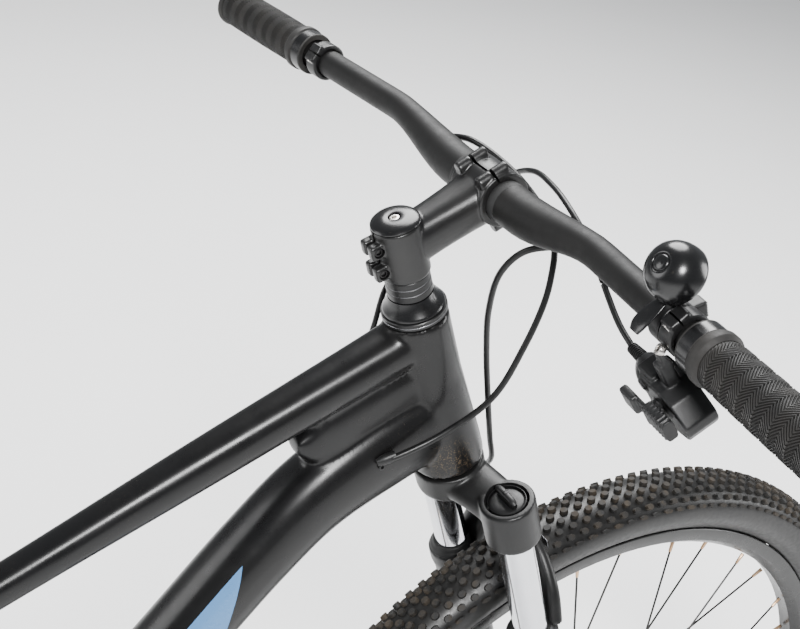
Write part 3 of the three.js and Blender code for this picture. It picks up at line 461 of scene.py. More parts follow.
def painted_marks(n, colour, roughness):
    """Blue wedge on both sides of the down tube and road dust under the lower headset."""
    parts = n.new("ShaderNodeSeparateXYZ", {0: n.coord}).outputs
    x, y, z = parts[0], parts[1], parts[2]

    def beyond(nx, nz, level):
        """1 where nx * x + nz * z > level."""
        return n.math("GREATER_THAN", n.math("ADD", n.math("MULTIPLY", x, nx), n.math("MULTIPLY", z, nz)),
                      level)
    wedge = n.math("MULTIPLY", beyond(0.767, -0.642, -0.36156), beyond(-0.982, 0.186, -0.03505))
    notch = n.math("MULTIPLY", beyond(-0.2, -0.98, -0.732), beyond(0.98, -0.2, 0.0105))
    wedge = n.math("MULTIPLY", wedge, n.math("SUBTRACT", beyond(0.63, 0.777, 0.574), notch, True))
    wedge = n.math("MULTIPLY", wedge, n.math("GREATER_THAN", n.math("ABSOLUTE", y), 0.0225))
    flake = n.mix(n.noise(2600, 2), (0.055, 0.15, 0.32), (0.11, 0.24, 0.44))
    near = n.new("ShaderNodeVectorMath", {0: n.coord, 1: (0.352, -0.022, 0.832)},
                 operation="DISTANCE").outputs["Value"]
    specks = n.span(n.noise(800, 3, 0.7), 0.56, 0.62, 0, 1)
    dusty = n.math("MULTIPLY", n.span(near, 0.008, 0.026, 1, 0), specks, True)
    colour = n.mix(n.math("MULTIPLY", dusty, 0.4), n.mix(wedge, colour, flake), (0.20, 0.14, 0.08))
    return colour, n.math("ADD", roughness, n.math("MULTIPLY", dusty, 0.4))


M = {
    "frame": coated("frame_paint", (0.003, 0.003, 0.0033), (0.0045, 0.0043, 0.0042), 0.30, 0.05, coat=0.06,
                    coat_rough=0.16,
                    fine=1500, grain=0.08, dust=0.12, cloud=9, specular=0.26, marks=painted_marks),
    "fork": coated("fork_paint", (0.004, 0.004, 0.0042), (0.006, 0.0058, 0.0056), 0.40, 0.06, fine=1500,
                   grain=0.12, dust=0.15,
                   cloud=12, specular=0.3),
    "forged": coated("forged_black", (0.005, 0.005, 0.0052), (0.008, 0.0077, 0.0074), 0.33, 0.05, fine=2200,
                     grain=0.2, dust=0.1,
                     cloud=25, specular=0.4),
    "satin": coated("satin_black", (0.005, 0.005, 0.0053), (0.008, 0.008, 0.008), 0.38, 0.08, fine=1800,
                    grain=0.15, dust=0.1,
                    cloud=30, specular=0.32),
    "bar": coated("bar_black", (0.0045, 0.0045, 0.0045), (0.0065, 0.0062, 0.006), 0.55, 0.07, fine=2600,
                  grain=0.2, dust=0.1,
                  cloud=18, specular=0.2),
    "band": coated("bar_band", (0.014, 0.014, 0.014), (0.018, 0.018, 0.018), 0.72, 0.06, fine=3200, grain=0.5,
                   cloud=20, specular=0.35),
    "gloss": coated("gloss_black", (0.003, 0.003, 0.0033), (0.0045, 0.0045, 0.0048), 0.24, 0.04, fine=500,
                    grain=0.02, dust=0.12,
                    cloud=20, specular=0.45),
    "plastic": coated("moulded_black", (0.006, 0.006, 0.0063), (0.009, 0.009, 0.009), 0.42, 0.06, fine=2600,
                      grain=0.25, dust=0.12,
                      cloud=35, specular=0.32),
    "edge": steel("turned_edge", (0.16, 0.16, 0.17), (0.24, 0.24, 0.25), 0.28),
    "bolt": steel("bolt_steel", (0.48, 0.47, 0.45), (0.62, 0.58, 0.54), 0.24),
    "black_bolt": steel("black_bolt", (0.018, 0.018, 0.020), (0.032, 0.030, 0.029), 0.32),
    "chrome": steel("hard_chrome", (0.66, 0.67, 0.70), (0.76, 0.76, 0.79), 0.07, (4, 4, 60), grain=0.01),
    "steel": steel("ground_steel", (0.34, 0.34, 0.35), (0.46, 0.46, 0.46), 0.30, (60, 3, 60)),
    "chain": steel("oiled_chain", (0.15, 0.14, 0.13), (0.26, 0.24, 0.22), 0.34),
    "rim": coated("rim_black", (0.004, 0.004, 0.004), (0.007, 0.007, 0.007), 0.30, 0.06, fine=1800,
                  grain=0.08, dust=0.15,
                  cloud=14, specular=0.35),
    "spoke": steel("dark_spoke", (0.030, 0.030, 0.032), (0.050, 0.048, 0.046), 0.30),
    "nipple": steel("nipple", (0.42, 0.27, 0.16), (0.60, 0.42, 0.28), 0.32),
    "tyre": tyre_material("tyre_tread"),
    "sidewall": rubber_material("tyre_sidewall", (0.006, 0.006, 0.006), (0.011, 0.0105, 0.010), 0.40, 0.15),
    "grip": rubber_material("grip_rubber", (0.010, 0.0098, 0.0095), (0.018, 0.0165, 0.015), 0.60),
    "hose": rubber_material("hose_jacket", (0.004, 0.004, 0.004), (0.007, 0.007, 0.007), 0.36, 0.06, 700),
    "seal": rubber_material("seal_rubber", (0.005, 0.005, 0.005), (0.009, 0.009, 0.009), 0.5),
    "leather": leather_material("saddle_cover"),
}


def carve(obj, cutter):
    """Takes the bodies gathered in cutter out of obj, one by one."""
    ends = cutter.bodies[1:] + [(len(cutter.verts), len(cutter.faces))]
    tools = []
    for (v0, f0), (v1, f1) in zip(cutter.bodies, ends):
        mesh = bpy.data.meshes.new("cutter")
        mesh.from_pydata(cutter.verts[v0:v1], [], [[i - v0 for i in f] for f in cutter.faces[f0:f1]])
        bm = bmesh.new()
        bm.from_mesh(mesh)
        bmesh.ops.recalc_face_normals(bm, faces=bm.faces[:])
        bm.to_mesh(mesh)
        bm.free()
        tool = bpy.data.objects.new("cutter", mesh)
        bpy.context.scene.collection.objects.link(tool)
        tools.append(tool)
        mod = obj.modifiers.new("bore", "BOOLEAN")
        mod.operation, mod.object, mod.solver = "DIFFERENCE", tool, "EXACT"
    bpy.context.view_layer.update()
    shaped = bpy.data.meshes.new_from_object(obj.evaluated_get(bpy.context.evaluated_depsgraph_get()))
    obj.modifiers.clear()
    obj.data = shaped
    shaped.shade_smooth()
    shaped.set_sharp_from_angle(angle=math.radians(40))
    for tool in tools:
        bpy.data.objects.remove(tool)
    return obj


def at(m, x, y, z):
    return m @ Matrix.Translation((x, y, z))


def link_outline(ax, az, ar, bx, bz, br, steps=14):
    angle = math.atan2(bz - az, bx - ax)
    lean = math.asin((ar - br) / math.hypot(bx - ax, bz - az))
    half = math.pi / 2 - lean
    out = []
    for x, z, r, a, b in ((bx, bz, br, angle - half, angle + half),
                          (ax, az, ar, angle + half, angle - half + 2 * math.pi)):
        for i in range(steps + 1):
            t = a + (b - a) * i / steps
            out.append((x + r * math.cos(t), z + r * math.sin(t)))
    return out


# ---- Frame ---------------------------------------------------------------------------------------
skin = Part()
TOP_TUBE = [(*steered(5, 0, -20), 20.6, 19), (*steered(-55, 0, -25), 19, 18), (147, 0, 851.8, 16.5, 17),
            (7, 0, 782.3, 14, 13.8), (*along_seat(357), 13.5, 13.5)]
DOWN_TUBE = [(*steered(5, 0, -100), 25, 38), (*steered(-45, 0, -103), 27, 36.5), (246, 0, 806, 28, 32),
             (205, 0, 765, 29, 29.5), (150, 0, 699, 29, 29), (-20, 0, 490, 29.5, 27),
             (BB.x, 0, BB.z + 12, 31, 22)]
skin.sweep(TOP_TUBE, n=40, power=2.4, per_span=10)
skin.sweep(DOWN_TUBE, n=44, power=2.4, per_span=10)
skin.sweep([(*steered(-119, 0, -60), 10, 6), (*steered(-100, 0, -66), 15, 22),
            (*steered(-60, 0, -60), 17, 24),
            (*steered(5, 0, -56), 18, 24)], n=32, power=3, per_span=8)
skin.lathe([(25, -1.2), (25.1, -30), (25.6, -60), (27.6, -96), (29.6, -132), (30, -149.5)], 64, m=S)
skin.rod(along_seat(0), along_seat(400), 17.4, 40)
skin.lathe([(21, -36), (21, 36)], 48, "y", m=at(MM, *BB))
for side in (1, -1):
    flip = MM @ Matrix.Diagonal((1, side, 1, 1))
    skin.sweep([(-172, 24, 308, 7, 14), (-206, 33, 311, 7, 14), (-240, 40, 315, 7, 13),
                (-330, 49.5, 327, 7, 11),
                (-500, 65, 355, 7, 10), (-562, 70, 365, 4.2, 11)], n=24, m=flip)
    skin.sweep([(-262, 10, 662, 8, 9), (-285, 24, 642, 8, 9), (-330, 42, 602, 8, 9),
                (-440, 60, 507, 7.5, 8.5),
                (-580, 70.6, 385, 4.2, 9)], n=24, m=flip)
    skin.prism(link_outline(REAR.x, REAR.z, 19.6, -560, 366, 13), 67.9, 74.8, 0.4, m=flip)
skin.prism(link_outline(-597, 360, 12, HANGER_X, HANGER_Z, 8.8), -74.8, -67.9, 0.4)
frame_skin = skin.make("frame_skin", "frame", [M["frame"]],
                       ("head_tube", "top_tube", "down_tube", "seat_tube",
                       "bottom_bracket_shell", "chainstay_left", "chainstay_right", "seatstay_left",
                       "seatstay_right"),
                       "frame_paint", remesh=2.4, smooth=7)
bores = Part().rod(along_seat(130), along_seat(410), 15.9, 40, bevel=0)
bores.rod((REAR.x, -90, REAR.z), (REAR.x, 90, REAR.z), 6.6, 24, bevel=0).rod((HANGER_X, -90, HANGER_Z),
                                                                             (HANGER_X, -60, HANGER_Z), 4.4,
                                                                             20, bevel=0)
bores.rod((BB.x, -60, BB.z), (BB.x, 60, BB.z), 13, 32, bevel=0)
carve(frame_skin, bores)

clamp = Part()
clamp_m = MM @ Matrix.Translation(along_seat(384)) @ Matrix.Rotation(-math.radians(16.5), 4, "Y")
clamp.lathe([(17.8, 0.4), (22, 0), (22.5, 0.6), (22.5, 5.5), (21.9, 6.2), (21.9, 8.8), (22.5, 9.5),
             (22.5, 14.3), (22, 15),
             (17.8, 14.8)], 64, m=clamp_m, closed=True)
for y in (-8, 1.1):
    clamp.box((-28, y, 2), (-19, y + 6.9, 13), 1.6, 3, m=clamp_m)
clamp.slot = 1
clamp.rod((-24, -10, 7.5), (-24, 10, 7.5), 3, m=clamp_m).bolt((-24, -11, 7.5), (0, -1, 0), 4.2, m=clamp_m)
clamp.make("seat_clamp_ring", "frame", [M["satin"], M["bolt"]], ("seat_clamp",), "anodised_black")

port = Part(S)
port.sweep([(-69, -28.5, -92, 2.4, 3.2), (-63, -29.6, -91.9, 3.9, 4.4), (-54, -31.6, -91.2, 3.6, 4.0)], SIDE,
           24, 2, 6)
port.bolt((-66, -29.2, -98.6), (0, -1, 0), 2.8)
cup = Part(S)
cup.lathe([(14.7, 0.3), (24.6, 0.3), (25, 0.7), (25, 5.6), (24.5, 6.1), (14.7, 6.1)], 72, closed=True)
cup.slot = 1
cup.lathe([(24.9, 2.3), (25.12, 2.5), (25.12, 2.9), (24.9, 3.1)], 72, closed=True)
cup.make("headset_cup", "frame", [M["satin"], M["edge"]], ("headset_upper_cup",), "anodised_black")

# ---- Headset cover, spacers, stem ----------------------------------------------------------------
cone = Part(S)
cone.lathe([(14.7, 6.6), (23.2, 6.6), (23.6, 7.0), (23.5, 8.1), (22.7, 9.3), (20.6, 12.2), (18.7, 15.8),
            (17.9, 18.4),
            (17.5, 19.5), (14.7, 19.6)], 80, closed=True)
cone.make("headset_cone", "steerer", [M["gloss"]], ("headset_cover",), "gloss_cap")
spacers = Part(S)
for low, high in ((20.1, 25.6), (25.75, 31.3), (31.45, 37.1)):
    spacers.slot = 0
    spacers.lathe([(14.7, low), (16.8, low), (17.2, low + 0.4), (17.2, high - 0.4), (16.8, high),
                   (14.7, high)], 72, closed=True)
spacers.slot = 1
for z in (25.68, 31.38):
    spacers.lathe([(16.2, z - 0.2), (16.95, z - 0.2), (16.95, z + 0.2), (16.2, z + 0.2)], 72, closed=True)
spacers.make("stem_spacer_stack", "steerer", [M["satin"], M["edge"]], ("stem_spacers",), "anodised_black")

rise = math.atan2(BAR.z - 59.5, BAR.x)
FACE_BOLTS = [(y, z) for y in (13.6, -13.6) for z in (20, -20)]  # across and along the clamp face
STEM_BOLTS = (50, 69)
clamp_frame = S @ Matrix.Translation(BAR) @ Matrix.Rotation(-rise, 4, "Y")
stem = Part(S)
stem.lathe([(17.9, 37.8), (18.6, 38.6), (18.6, 80.2), (17.9, 81)], 64)
stem.sweep([(4, 0, 60, 15.5, 18.2), (30, 0, 63.8, 16.6, 17.4), (55, 0, 67.4, 18.6, 17.6),
            (69, 0, 69.4, 20, 18.4)], n=44,
           power=2.7, per_span=8)
stem.lathe([(20.4, -20.6), (20.8, -20), (20.8, 20), (20.4, 20.6)], 64, "y", m=clamp_frame)
for y, z in FACE_BOLTS:
    stem.rod((-13, y, z), (-0.9, y, z), 5.0, 28, bevel=1.2, m=clamp_frame)
    stem.box((-9, y - 3.4, min(z, z * 0.7)), (-0.9, y + 3.4, max(z, z * 0.7)), 1.5, 2, m=clamp_frame)
for side in (1, -1):
    for z in (44, 63):
        low = 1.3 if side > 0 else -9
        stem.box((-26.5, low, z), (-11, low + 7.7, z + 12), 2.6, 4)
stem_body = stem.make("stem_body", "steerer", [M["forged"]], ("stem",), "anodised_black", remesh=0.75,
                      smooth=4)
cuts = Part(S)
cuts.lathe([(14.6, 30), (14.6, 90)], 48)
cuts.box((-40, -1.15, 30), (-10, 1.15, 90), 0.2, 1)
cuts.lathe([(16.2, -30), (16.2, 30)], 64, "y", m=S @ Matrix.Translation(BAR))
cuts.box((-0.9, -40, -60), (60, 40, 60), 0.2, 1, m=clamp_frame)
for z in STEM_BOLTS:
    cuts.rod((-20.5, -14, z), (-20.5, -6.6, z), 4.1, 28, bevel=0)
carve(stem_body, cuts)
bolts = Part(S)
for z in STEM_BOLTS:
    bolts.bolt((-20.5, -7.9, z), (0, -1, 0), 3.7)
for y, z in FACE_BOLTS:
    bolts.bolt((11.4, y, z), (1, 0, 0), 3.4, m=clamp_frame)
bolts.make("stem_bolts", "steerer", [M["black_bolt"]], slot="anodised_black")

plate = Part(clamp_frame)
plate.lathe([(20.3, -20.6), (20.8, -20), (20.8, 20), (20.3, 20.6)], 64, "y")
for y, z in FACE_BOLTS:
    plate.rod((-2, y, z), (12.6, y, z), 5.0, 28, bevel=1.2)
    plate.box((-2, y - 3.4, min(z, z * 0.7)), (9, y + 3.4, max(z, z * 0.7)), 1.5, 2)
faceplate = plate.make("stem_faceplate_cover", "steerer", [M["forged"]], ("stem_faceplate",),
                       "anodised_black", remesh=0.75, smooth=4)
cuts = Part(clamp_frame)
cuts.lathe([(16.2, -30), (16.2, 30)], 64, "y", m=S @ Matrix.Translation(BAR))
cuts.box((-60, -40, -60), (0.9, 40, 60), 0.2, 1)
cuts.box((8, -7, -12), (40, 7, 12), 3.5, 4)
for y, z in FACE_BOLTS:
    cuts.rod((9.6, y, z), (20, y, z), 3.7, 28, bevel=0)
carve(faceplate, cuts)

cap = Part(S)
cap.lathe([(0, 81.4), (17.9, 81.4), (18.2, 81.8), (18.1, 82.6), (17.0, 83.6), (14.5, 84.8), (10.5, 85.7),
           (5.4, 86.2), (4.6, 85.9),
           (4.3, 82.6), (0, 82.5)], 80)
cap.slot = 1
cap.bolt((0, 0, 85.4), (0, 0, 1), 3.9, 1.8, 2.0)
cap.make("top_cap_disc", "steerer", [M["gloss"], M["bolt"]], ("top_cap",), "gloss_cap")

bar = Part(S)
stops = [-378 + 9 * k for k in range(85)]
bar.sweep([(*bar_point(y), bar_radius(y), bar_radius(y)) for y in stops], Vector((1, 0, 0)), 48, per_span=1)
bar.slot = 1
for y in (-29, 20.9):
    bar.lathe([(14, y), (15.95, y), (16.02, y + 0.2), (16.02, y + 7.9), (15.95, y + 8.1), (14, y + 8.1)], 64,
              "y", closed=True,
              m=at(S, BAR.x, 0, BAR.z))
bar.make("handlebar_tube", "steerer", [M["bar"], M["band"]], ("handlebar",), "matte_bar")


# ---- Bar ends: grips, brake mounts, levers -------------------------------------------------------
def bar_end(side):
    """Frame at the inner end of a grip: x ahead, y along the bar away from the stem, z up."""
    out = (bar_point(side * 300) - bar_point(side * 200)).normalized() * side
    ahead = (Vector((1, 0, 0)) - out * out.x).normalized()
    up = ahead.cross(out)
    basis = Matrix((ahead, out, up)).transposed().to_4x4()
    return S @ Matrix.Translation(bar_point(side * 248)) @ basis @ Matrix.Diagonal((1, side, 1, 1))


END = {1: bar_end(1), -1: bar_end(-1)}
LEVER = {s: END[s] @ Matrix.Rotation(math.radians(drop), 4, "Y") for s, drop in ((1, 54), (-1, 68))}
NAMES = {1: "left", -1: "right"}
BAR_BORE = 11.35


def saw(v):
    """Triangle wave from 0 to 1 with a period of 1."""
    f = v % 1
    return 2 * f if f < 0.5 else 2 - 2 * f


for side, name in NAMES.items():
    grip = Part(END[side])
    heights = (0, 1, 1, 0)
    count, rows = 42 * len(heights), 84
    rings = []
    for i in range(rows + 1):
        y = 22.4 + 1.25 * i
        swell = 15.55 + 0.4 * math.sin(math.pi * i / rows)
        edge = min(1, i / 3, (rows - i) / 3)
        ring = []
        for k in range(count):
            a = 2 * math.pi * k / count + 0.5 * saw(i / 12)
            r = swell + 1.15 * edge * heights[k % len(heights)]
            ring.append((r * math.cos(a), y, r * math.sin(a)))
        rings.append(ring)
    grip.rings(rings)
    grip.lathe([(13.0, 0.3), (16.9, 0.2), (17.35, 0.7), (17.35, 12.6), (17.1, 13.2), (17.5, 13.6),
                (18.4, 14.1), (18.6, 14.8),
                (18.6, 19.2), (18.3, 20.0), (17.0, 21.2), (16.1, 22.6), (13.0, 22.6)], 72, "y", closed=True)
    grip.lathe([(0, 126.8), (16.2, 127.2), (17.0, 128.6), (17.6, 130), (17.5, 131.6), (16.4, 133.2),
                (14, 133.9), (7, 133.4),
                (0, 133.2)], 72, "y")
    grip.slot = 1
    grip.lathe([(14, 2.0), (17.42, 2.0), (17.42, 11.8), (14, 11.8)], 72, "y", closed=True)
    grip.make(f"grip_{name}_sleeve", "steerer", [M["grip"], M["gloss"]], (f"grip_{name}",), "grip_rubber",
              sharp=35)

    mount = Part(LEVER[side])
    mount.lathe([(11.5, -21), (14.6, -21), (15.2, -20.4), (15.2, -8.6), (14.6, -8), (11.5, -8)], 64, "y",
                closed=True)
    mount.box((12.5, -21, -6.5), (28, -8, 6.5), 2.5, 3)
    mount.rod((26, -71, 0), (26, -9, 0), 7.4, 36, bevel=2.5)
    mount.rod((26, -84, 0), (26, -68, 0), 4, 24, 5.6, bevel=0.8)
    mount.box((18, -62, -7.2), (33.2, -22, 6.0), 3.4, 4)
    for z in (-7.7, 5.3):
        mount.box((20, -18, z), (43, 4, z + 2.4), 1.1, 2)
    mount.box((-17, -20.5, -8), (-8, -8.5, 8), 2.2, 3)
    holder = mount.make(f"brake_mount_{name}_body", "steerer", [M["satin"]], (f"brake_mount_{name}",),
                        "caliper_black", remesh=0.8,
                        smooth=4)
    cuts = Part(LEVER[side])
    cuts.lathe([(BAR_BORE, -40), (BAR_BORE, 10)], 48, "y")
    cuts.box((33.6, -22, -5.2), (46, 8, 5.2), 0.3, 1)
    cuts.box((-30, -30, -0.7), (-8, 0, 0.7), 0.1, 1)
    carve(holder, cuts)
    trim = Part(LEVER[side])
    trim.bolt((-12.5, -14.5, -8.4), (0, 0, -1), 3.6)
    trim.rod((38, -3, -7.6), (38, -3, 7.6), 2.1, 20, bevel=0.4)
    trim.make(f"brake_mount_{name}_bolts", "steerer", [M["bolt"]], slot="caliper_black")

    blade = Part(LEVER[side])
    blade.rod((38, -3, -4.8), (38, -3, 4.8), 5, 32, bevel=0.5)
    blade.sweep([(39, -2, 0, 4.2, 4.6), (50, 9, 0, 4.0, 4.6), (61, 26, 0, 3.6, 4.8), (67, 50, 0, 3.2, 5.8),
                 (67, 76, 0, 3.0, 6.2),
                 (71, 92, 0, 3.0, 5.8), (77.6, 98.6, 0, 3.0, 4.6)], Vector((1, 0, 0)), 24, 2.8, 8,
                 round_ends=1.2)
    lever = blade.make(f"brake_lever_{name}_blade", f"brake_lever_{name}", [M["satin"]],
                       (f"brake_lever_{name}",), "anodised_black",
                       remesh=0.7, smooth=3)
    carve(lever, Part(LEVER[side]).rod((38, -3, -9), (38, -3, 9), 2.45, 20, bevel=0))

# ---- Shifter -------------------------------------------------------------------------------------
LR = END[-1] @ Matrix.Rotation(math.radians(75), 4, "Y")
PIVOT = (46, -18)  # the paddles' axis, along z in the shifter's frame
FLAT = Matrix(((1, 0, 0, 0), (0, 0, 1, 0), (0, 1, 0, 0), (0, 0, 0, 1)))
house = Part(LR)
house.sweep([(39.6, -54, -19.6, 6.6, 6.6), (40, -50, -20, 10.5, 8.6), (41, -43, -21, 14.6, 11),
             (41.5, -34, -21, 15.4, 11.4)], X_AXIS, 36,
            2.3, 8)
house.prism([(27, -36), (56, -36), (60, -28), (60.5, -6), (57, 6), (51, 9.4), (44, 9.4), (31, -1), (26, -12)],
            -32.6, -9.4, 1.6, m=LR @ FLAT)
house.rod((*PIVOT, -35.8), (*PIVOT, -28), 8, 40, bevel=0.8)
house.rod((34, -33, -34.2), (34, -33, -20), 4.4, 28, bevel=0.8)
house.box((23.4, -40, -30), (30, -22, -14), 2.2, 3)
house.box((8, -19.5, -25.5), (30, -10.5, -15.5), 2, 3)
house.box((-1.5, -18, -22.4), (12, -10.5, -15), 2.0, 3)
shell = house.make("shifter_housing", "steerer", [M["plastic"]], ("shifter_body",), "gear_plastic",
                   remesh=0.8, smooth=5)
carve(shell, Part(LR).lathe([(19, -50), (19, 30)], 48, "y"))
boot = Part(LR)
boot.rod((*PIVOT, -43.8), (*PIVOT, -35), 2.1, 20, bevel=0.4)
profile = [(0, -69.8), (3.4, -69.8)]
for k in range(9):
    y = -69.4 + k * 1.9
    profile += [(3.9 + 0.12 * k, y), (4.0 + 0.12 * k, y + 0.9), (3.3 + 0.12 * k, y + 1.2),
                (3.3 + 0.12 * k, y + 1.7)]
profile += [(5.6, -52), (6.6, -50), (6.6, -46), (0, -46)]
boot.lathe(profile, 40, "y", m=at(LR, 39.2, 0, -19.4))
boot.slot = 1
boot.bolt((34, -33, -34), (0, 0, -1), 2.6).bolt((*PIVOT, -35.6), (0, 0, -1), 4.6, 0.8)
boot.slot = 2
boot.bolt((-3.4, -14.2, -19.6), (-0.8, -0.3, -0.5), 3.7, 2.0, 4.4)
boot.make("shifter_barrel", "steerer", [M["seal"], M["black_bolt"], M["bolt"]], slot="gear_plastic")

thumb = Part(LR)
thumb.rod((*PIVOT, -39), (*PIVOT, -36.4), 5.9, 28, bevel=0.5)
thumb.box((30, -15, -39), (46, -8.5, -36.6), 0.8, 2)
thumb.sweep([(27, -11, -41.4, 1.5, 4.3), (31, -10, -41.4, 2.6, 4.5), (40, -10.4, -41.4, 2.2, 4.5),
             (42.6, -10.6, -41.4, 1.2, 4.2)],
            Vector((0, 1, 0)), 24, 3, 5)
thumb.sweep([(34, -11.4, -41.4, 8.6, 4.4), (34.2, 0, -41.4, 8.8, 4.6), (34, 11.4, -41.4, 7.6, 4.3)], X_AXIS,
            28, 3.4, 6)
for k in range(6):
    y = -8.4 + 3.4 * k
    thumb.sweep([(27.6, y, -45.2, 0.6, 0.75), (34, y, -45.35, 0.6, 0.75), (40.6, y, -45.2, 0.6, 0.75)],
                Vector((0, 1, 0)), 12, 2, 4)
    thumb.rod((25.9, y, -45), (25.9, y, -37.6), 0.8, 12)
pad = thumb.make("shifter_thumb_pad", "shifter_thumb_paddle", [M["plastic"]], ("shifter_thumb_paddle",),
                 "gear_plastic", remesh=0.45,
                 smooth=2)
carve(pad, Part(LR).rod((*PIVOT, -60), (*PIVOT, -20), 2.4, 20, bevel=0))
release = Part(LR)
release.rod((*PIVOT, -42.2), (*PIVOT, -39.5), 5.9, 28, bevel=0.5)
release.box((36, -42, -42.2), (49.4, -20, -39.5), 0.9, 2)
release.box((34.3, -43.7, -45.8), (49.7, -28.3, -39.6), 2.4, 4)
pad = release.make("shifter_release_pad", "shifter_release_paddle", [M["plastic"]],
                   ("shifter_release_paddle",), "gear_plastic",
                   remesh=0.5, smooth=3)
carve(pad, Part(LR).rod((*PIVOT, -60), (*PIVOT, -20), 2.4, 20, bevel=0))

# ---- Bell ----------------------------------------------------------------------------------------
ER = END[-1]
AXIS = Vector((-0.6, 0.1, 0.79)).normalized()
RIM = Vector((8, -28, 31))
bell_m = ER @ Matrix.Translation(RIM) @ AXIS.to_track_quat("Z", "Y").to_matrix().to_4x4()
dome = Part(bell_m)
dome.lathe([(0, 20.6), (6, 20.3), (10.6, 18.9), (14.2, 15.2), (16.6, 9.6), (17.5, 4), (17.6, 0.1), (19.1, 0),
            (19.35, 0.5), (19.4, 3.4),
            (19.0, 7.6), (18.0, 11.6), (16.2, 15.2), (13.6, 18.2), (10.4, 20.3), (7.4, 21.3), (6.5, 21.4),
            (6.1, 21.0), (5.9, 20.6),
            (5.4, 20.6), (5.1, 21.3), (4.4, 21.8), (2.6, 22.2), (0, 22.3)], 96)
dome.make("bell_shell", "steerer", [M["gloss"]], ("bell_dome",), "bell_gloss", sharp=60)
base = Part(ER)
base.lathe([(11.4, -34), (14.2, -34), (14.6, -33.5), (14.6, -23), (14.2, -22.5), (11.4, -22.5)], 64, "y",
           closed=True)
base.rod(RIM - AXIS * 5, RIM + AXIS * 19.4, 3.4, 24)
base.rod(RIM - AXIS * 4, RIM + AXIS * 3, 9, 32, bevel=1.2)
base.rod((3.5, -28, 12.5), (9, -28, 29), 5.4, 28, bevel=1)
base.box((9.4, -33.8, -5), (21.8, -22.7, 8), 2.2, 4)
foot = base.make("bell_bracket", "steerer", [M["plastic"]], ("bell_base",), "gloss_cap", remesh=0.7, smooth=3)
carve(foot, Part(ER).lathe([(BAR_BORE, -50), (BAR_BORE, 0)], 48, "y"))
ribs = Part(ER)
for k in range(6):
    ribs.box((20.9, -33, -3.6 + 1.9 * k), (22.0, -23.5, -2.6 + 1.9 * k), 0.35, 2)
ribs.slot = 1
ribs.bolt((15.5, -28.2, -5.4), (0, 0, -1), 3.2)
ribs.make("bell_strap_ribs", "steerer", [M["plastic"], M["bolt"]], slot="gloss_cap")
tab = Part(ER)
tab.sweep([(-4.6, -28, 18.2, 4, 1.1), (-12, -29, 14.5, 6, 1.1), (-22, -30, 8, 6.4, 1.2),
           (-25.8, -30, 4.1, 4.4, 1.1)], SIDE, 28, 2.6, 8)
tab.make("bell_thumb_tab", "bell_striker", [M["gloss"]], ("bell_striker",), "gear_plastic")

# ---- Fork ----------------------------------------------------------------------------------------
LEG_X, LEG_Y = 14, 64  # the legs in the steering frame
AXLE_X, AXLE_Z = 48.5, -650
crown = Part(S)
crown.lathe([(25, -178), (28, -176), (29, -172), (29.4, -153.4), (28.8, -153)], 64)
for side in (1, -1):
    crown.sweep([(0, 0, -166, 25, 12), (6, side * 28, -167, 21, 11.5), (12, side * 50, -174, 19, 14),
                 (LEG_X, side * LEG_Y, -180, 18, 17)],
                X_AXIS, 36, 2.5, 8)
    crown.rod((LEG_X, side * LEG_Y, -201), (LEG_X, side * LEG_Y, -160), 22.6, 56, bevel=1.2)
bridge = crown.make("fork_crown_body", "steerer", [M["fork"]], ("fork_crown",), "fork_paint", remesh=1.2,
                    smooth=8)
cuts = Part(S)
for side in (1, -1):
    cuts.rod((LEG_X, side * LEG_Y, -220), (LEG_X, side * LEG_Y, -172), 15.2, 48, bevel=0)
    cuts.lathe([(0, -168), (16.2, -168), (17.6, -161), (18.6, -158), (0, -158)], 56,
               m=at(S, LEG_X, side * LEG_Y, 0))
carve(bridge, cuts)
tube = Part(S)
tube.lathe([(13.6, -153), (14.3, -152), (14.3, 79.5), (13.6, 80.4)], 40)
for side in (1, -1):
    tube.lathe([(14.9, -169.6), (15.55, -169.6), (15.55, -160.6), (14.9, -160.3)], 56,
               m=at(S, LEG_X, side * LEG_Y, 0), closed=True)
tube.lathe([(0, -169.5), (14.5, -169.5), (14.7, -163.2), (13.9, -162.2), (5, -161.6), (0, -161.6)], 56,
           m=at(S, LEG_X, LEG_Y, 0))
tube.make("steerer_tube", "steerer", [M["satin"]], slot="fork_paint")
for side, name in NAMES.items():
    leg = Part(at(S, LEG_X, side * LEG_Y, 0))
    leg.lathe([(14.2, -461.8), (15, -461), (15, -173), (14.2, -172.4)], 64)
    leg.make(f"stanchion_{name}_tube", "steerer", [M["chrome"]], (f"stanchion_{name}",), "chrome_tube")
knob = Part(at(S, LEG_X, -LEG_Y, 0))
knob.lathe([(0, -167.6), (14.3, -167.6), (14.6, -167.2), (14.6, -163.4), (14.0, -162.4), (12.4, -161.6),
            (8, -161.2), (0, -161.2)], 64)
knob.sweep([(0, -12.6, -158.4, 1.8, 3.2), (0, -9, -157.4, 2.8, 4.6), (0, 0, -156.9, 3.0, 4.9),
            (0, 9, -157.4, 2.8, 4.6),
            (0, 12.6, -158.4, 1.8, 3.2)], X_AXIS, 24, 3, 6)
knob.slot = 1
knob.bolt((0, 0, -151.95), (0, 0, 1), 2.3, 1.4, 2)
knob.make("lockout_dial", "lockout_knob", [M["plastic"], M["black_bolt"]], ("lockout_knob",), "knob_black")

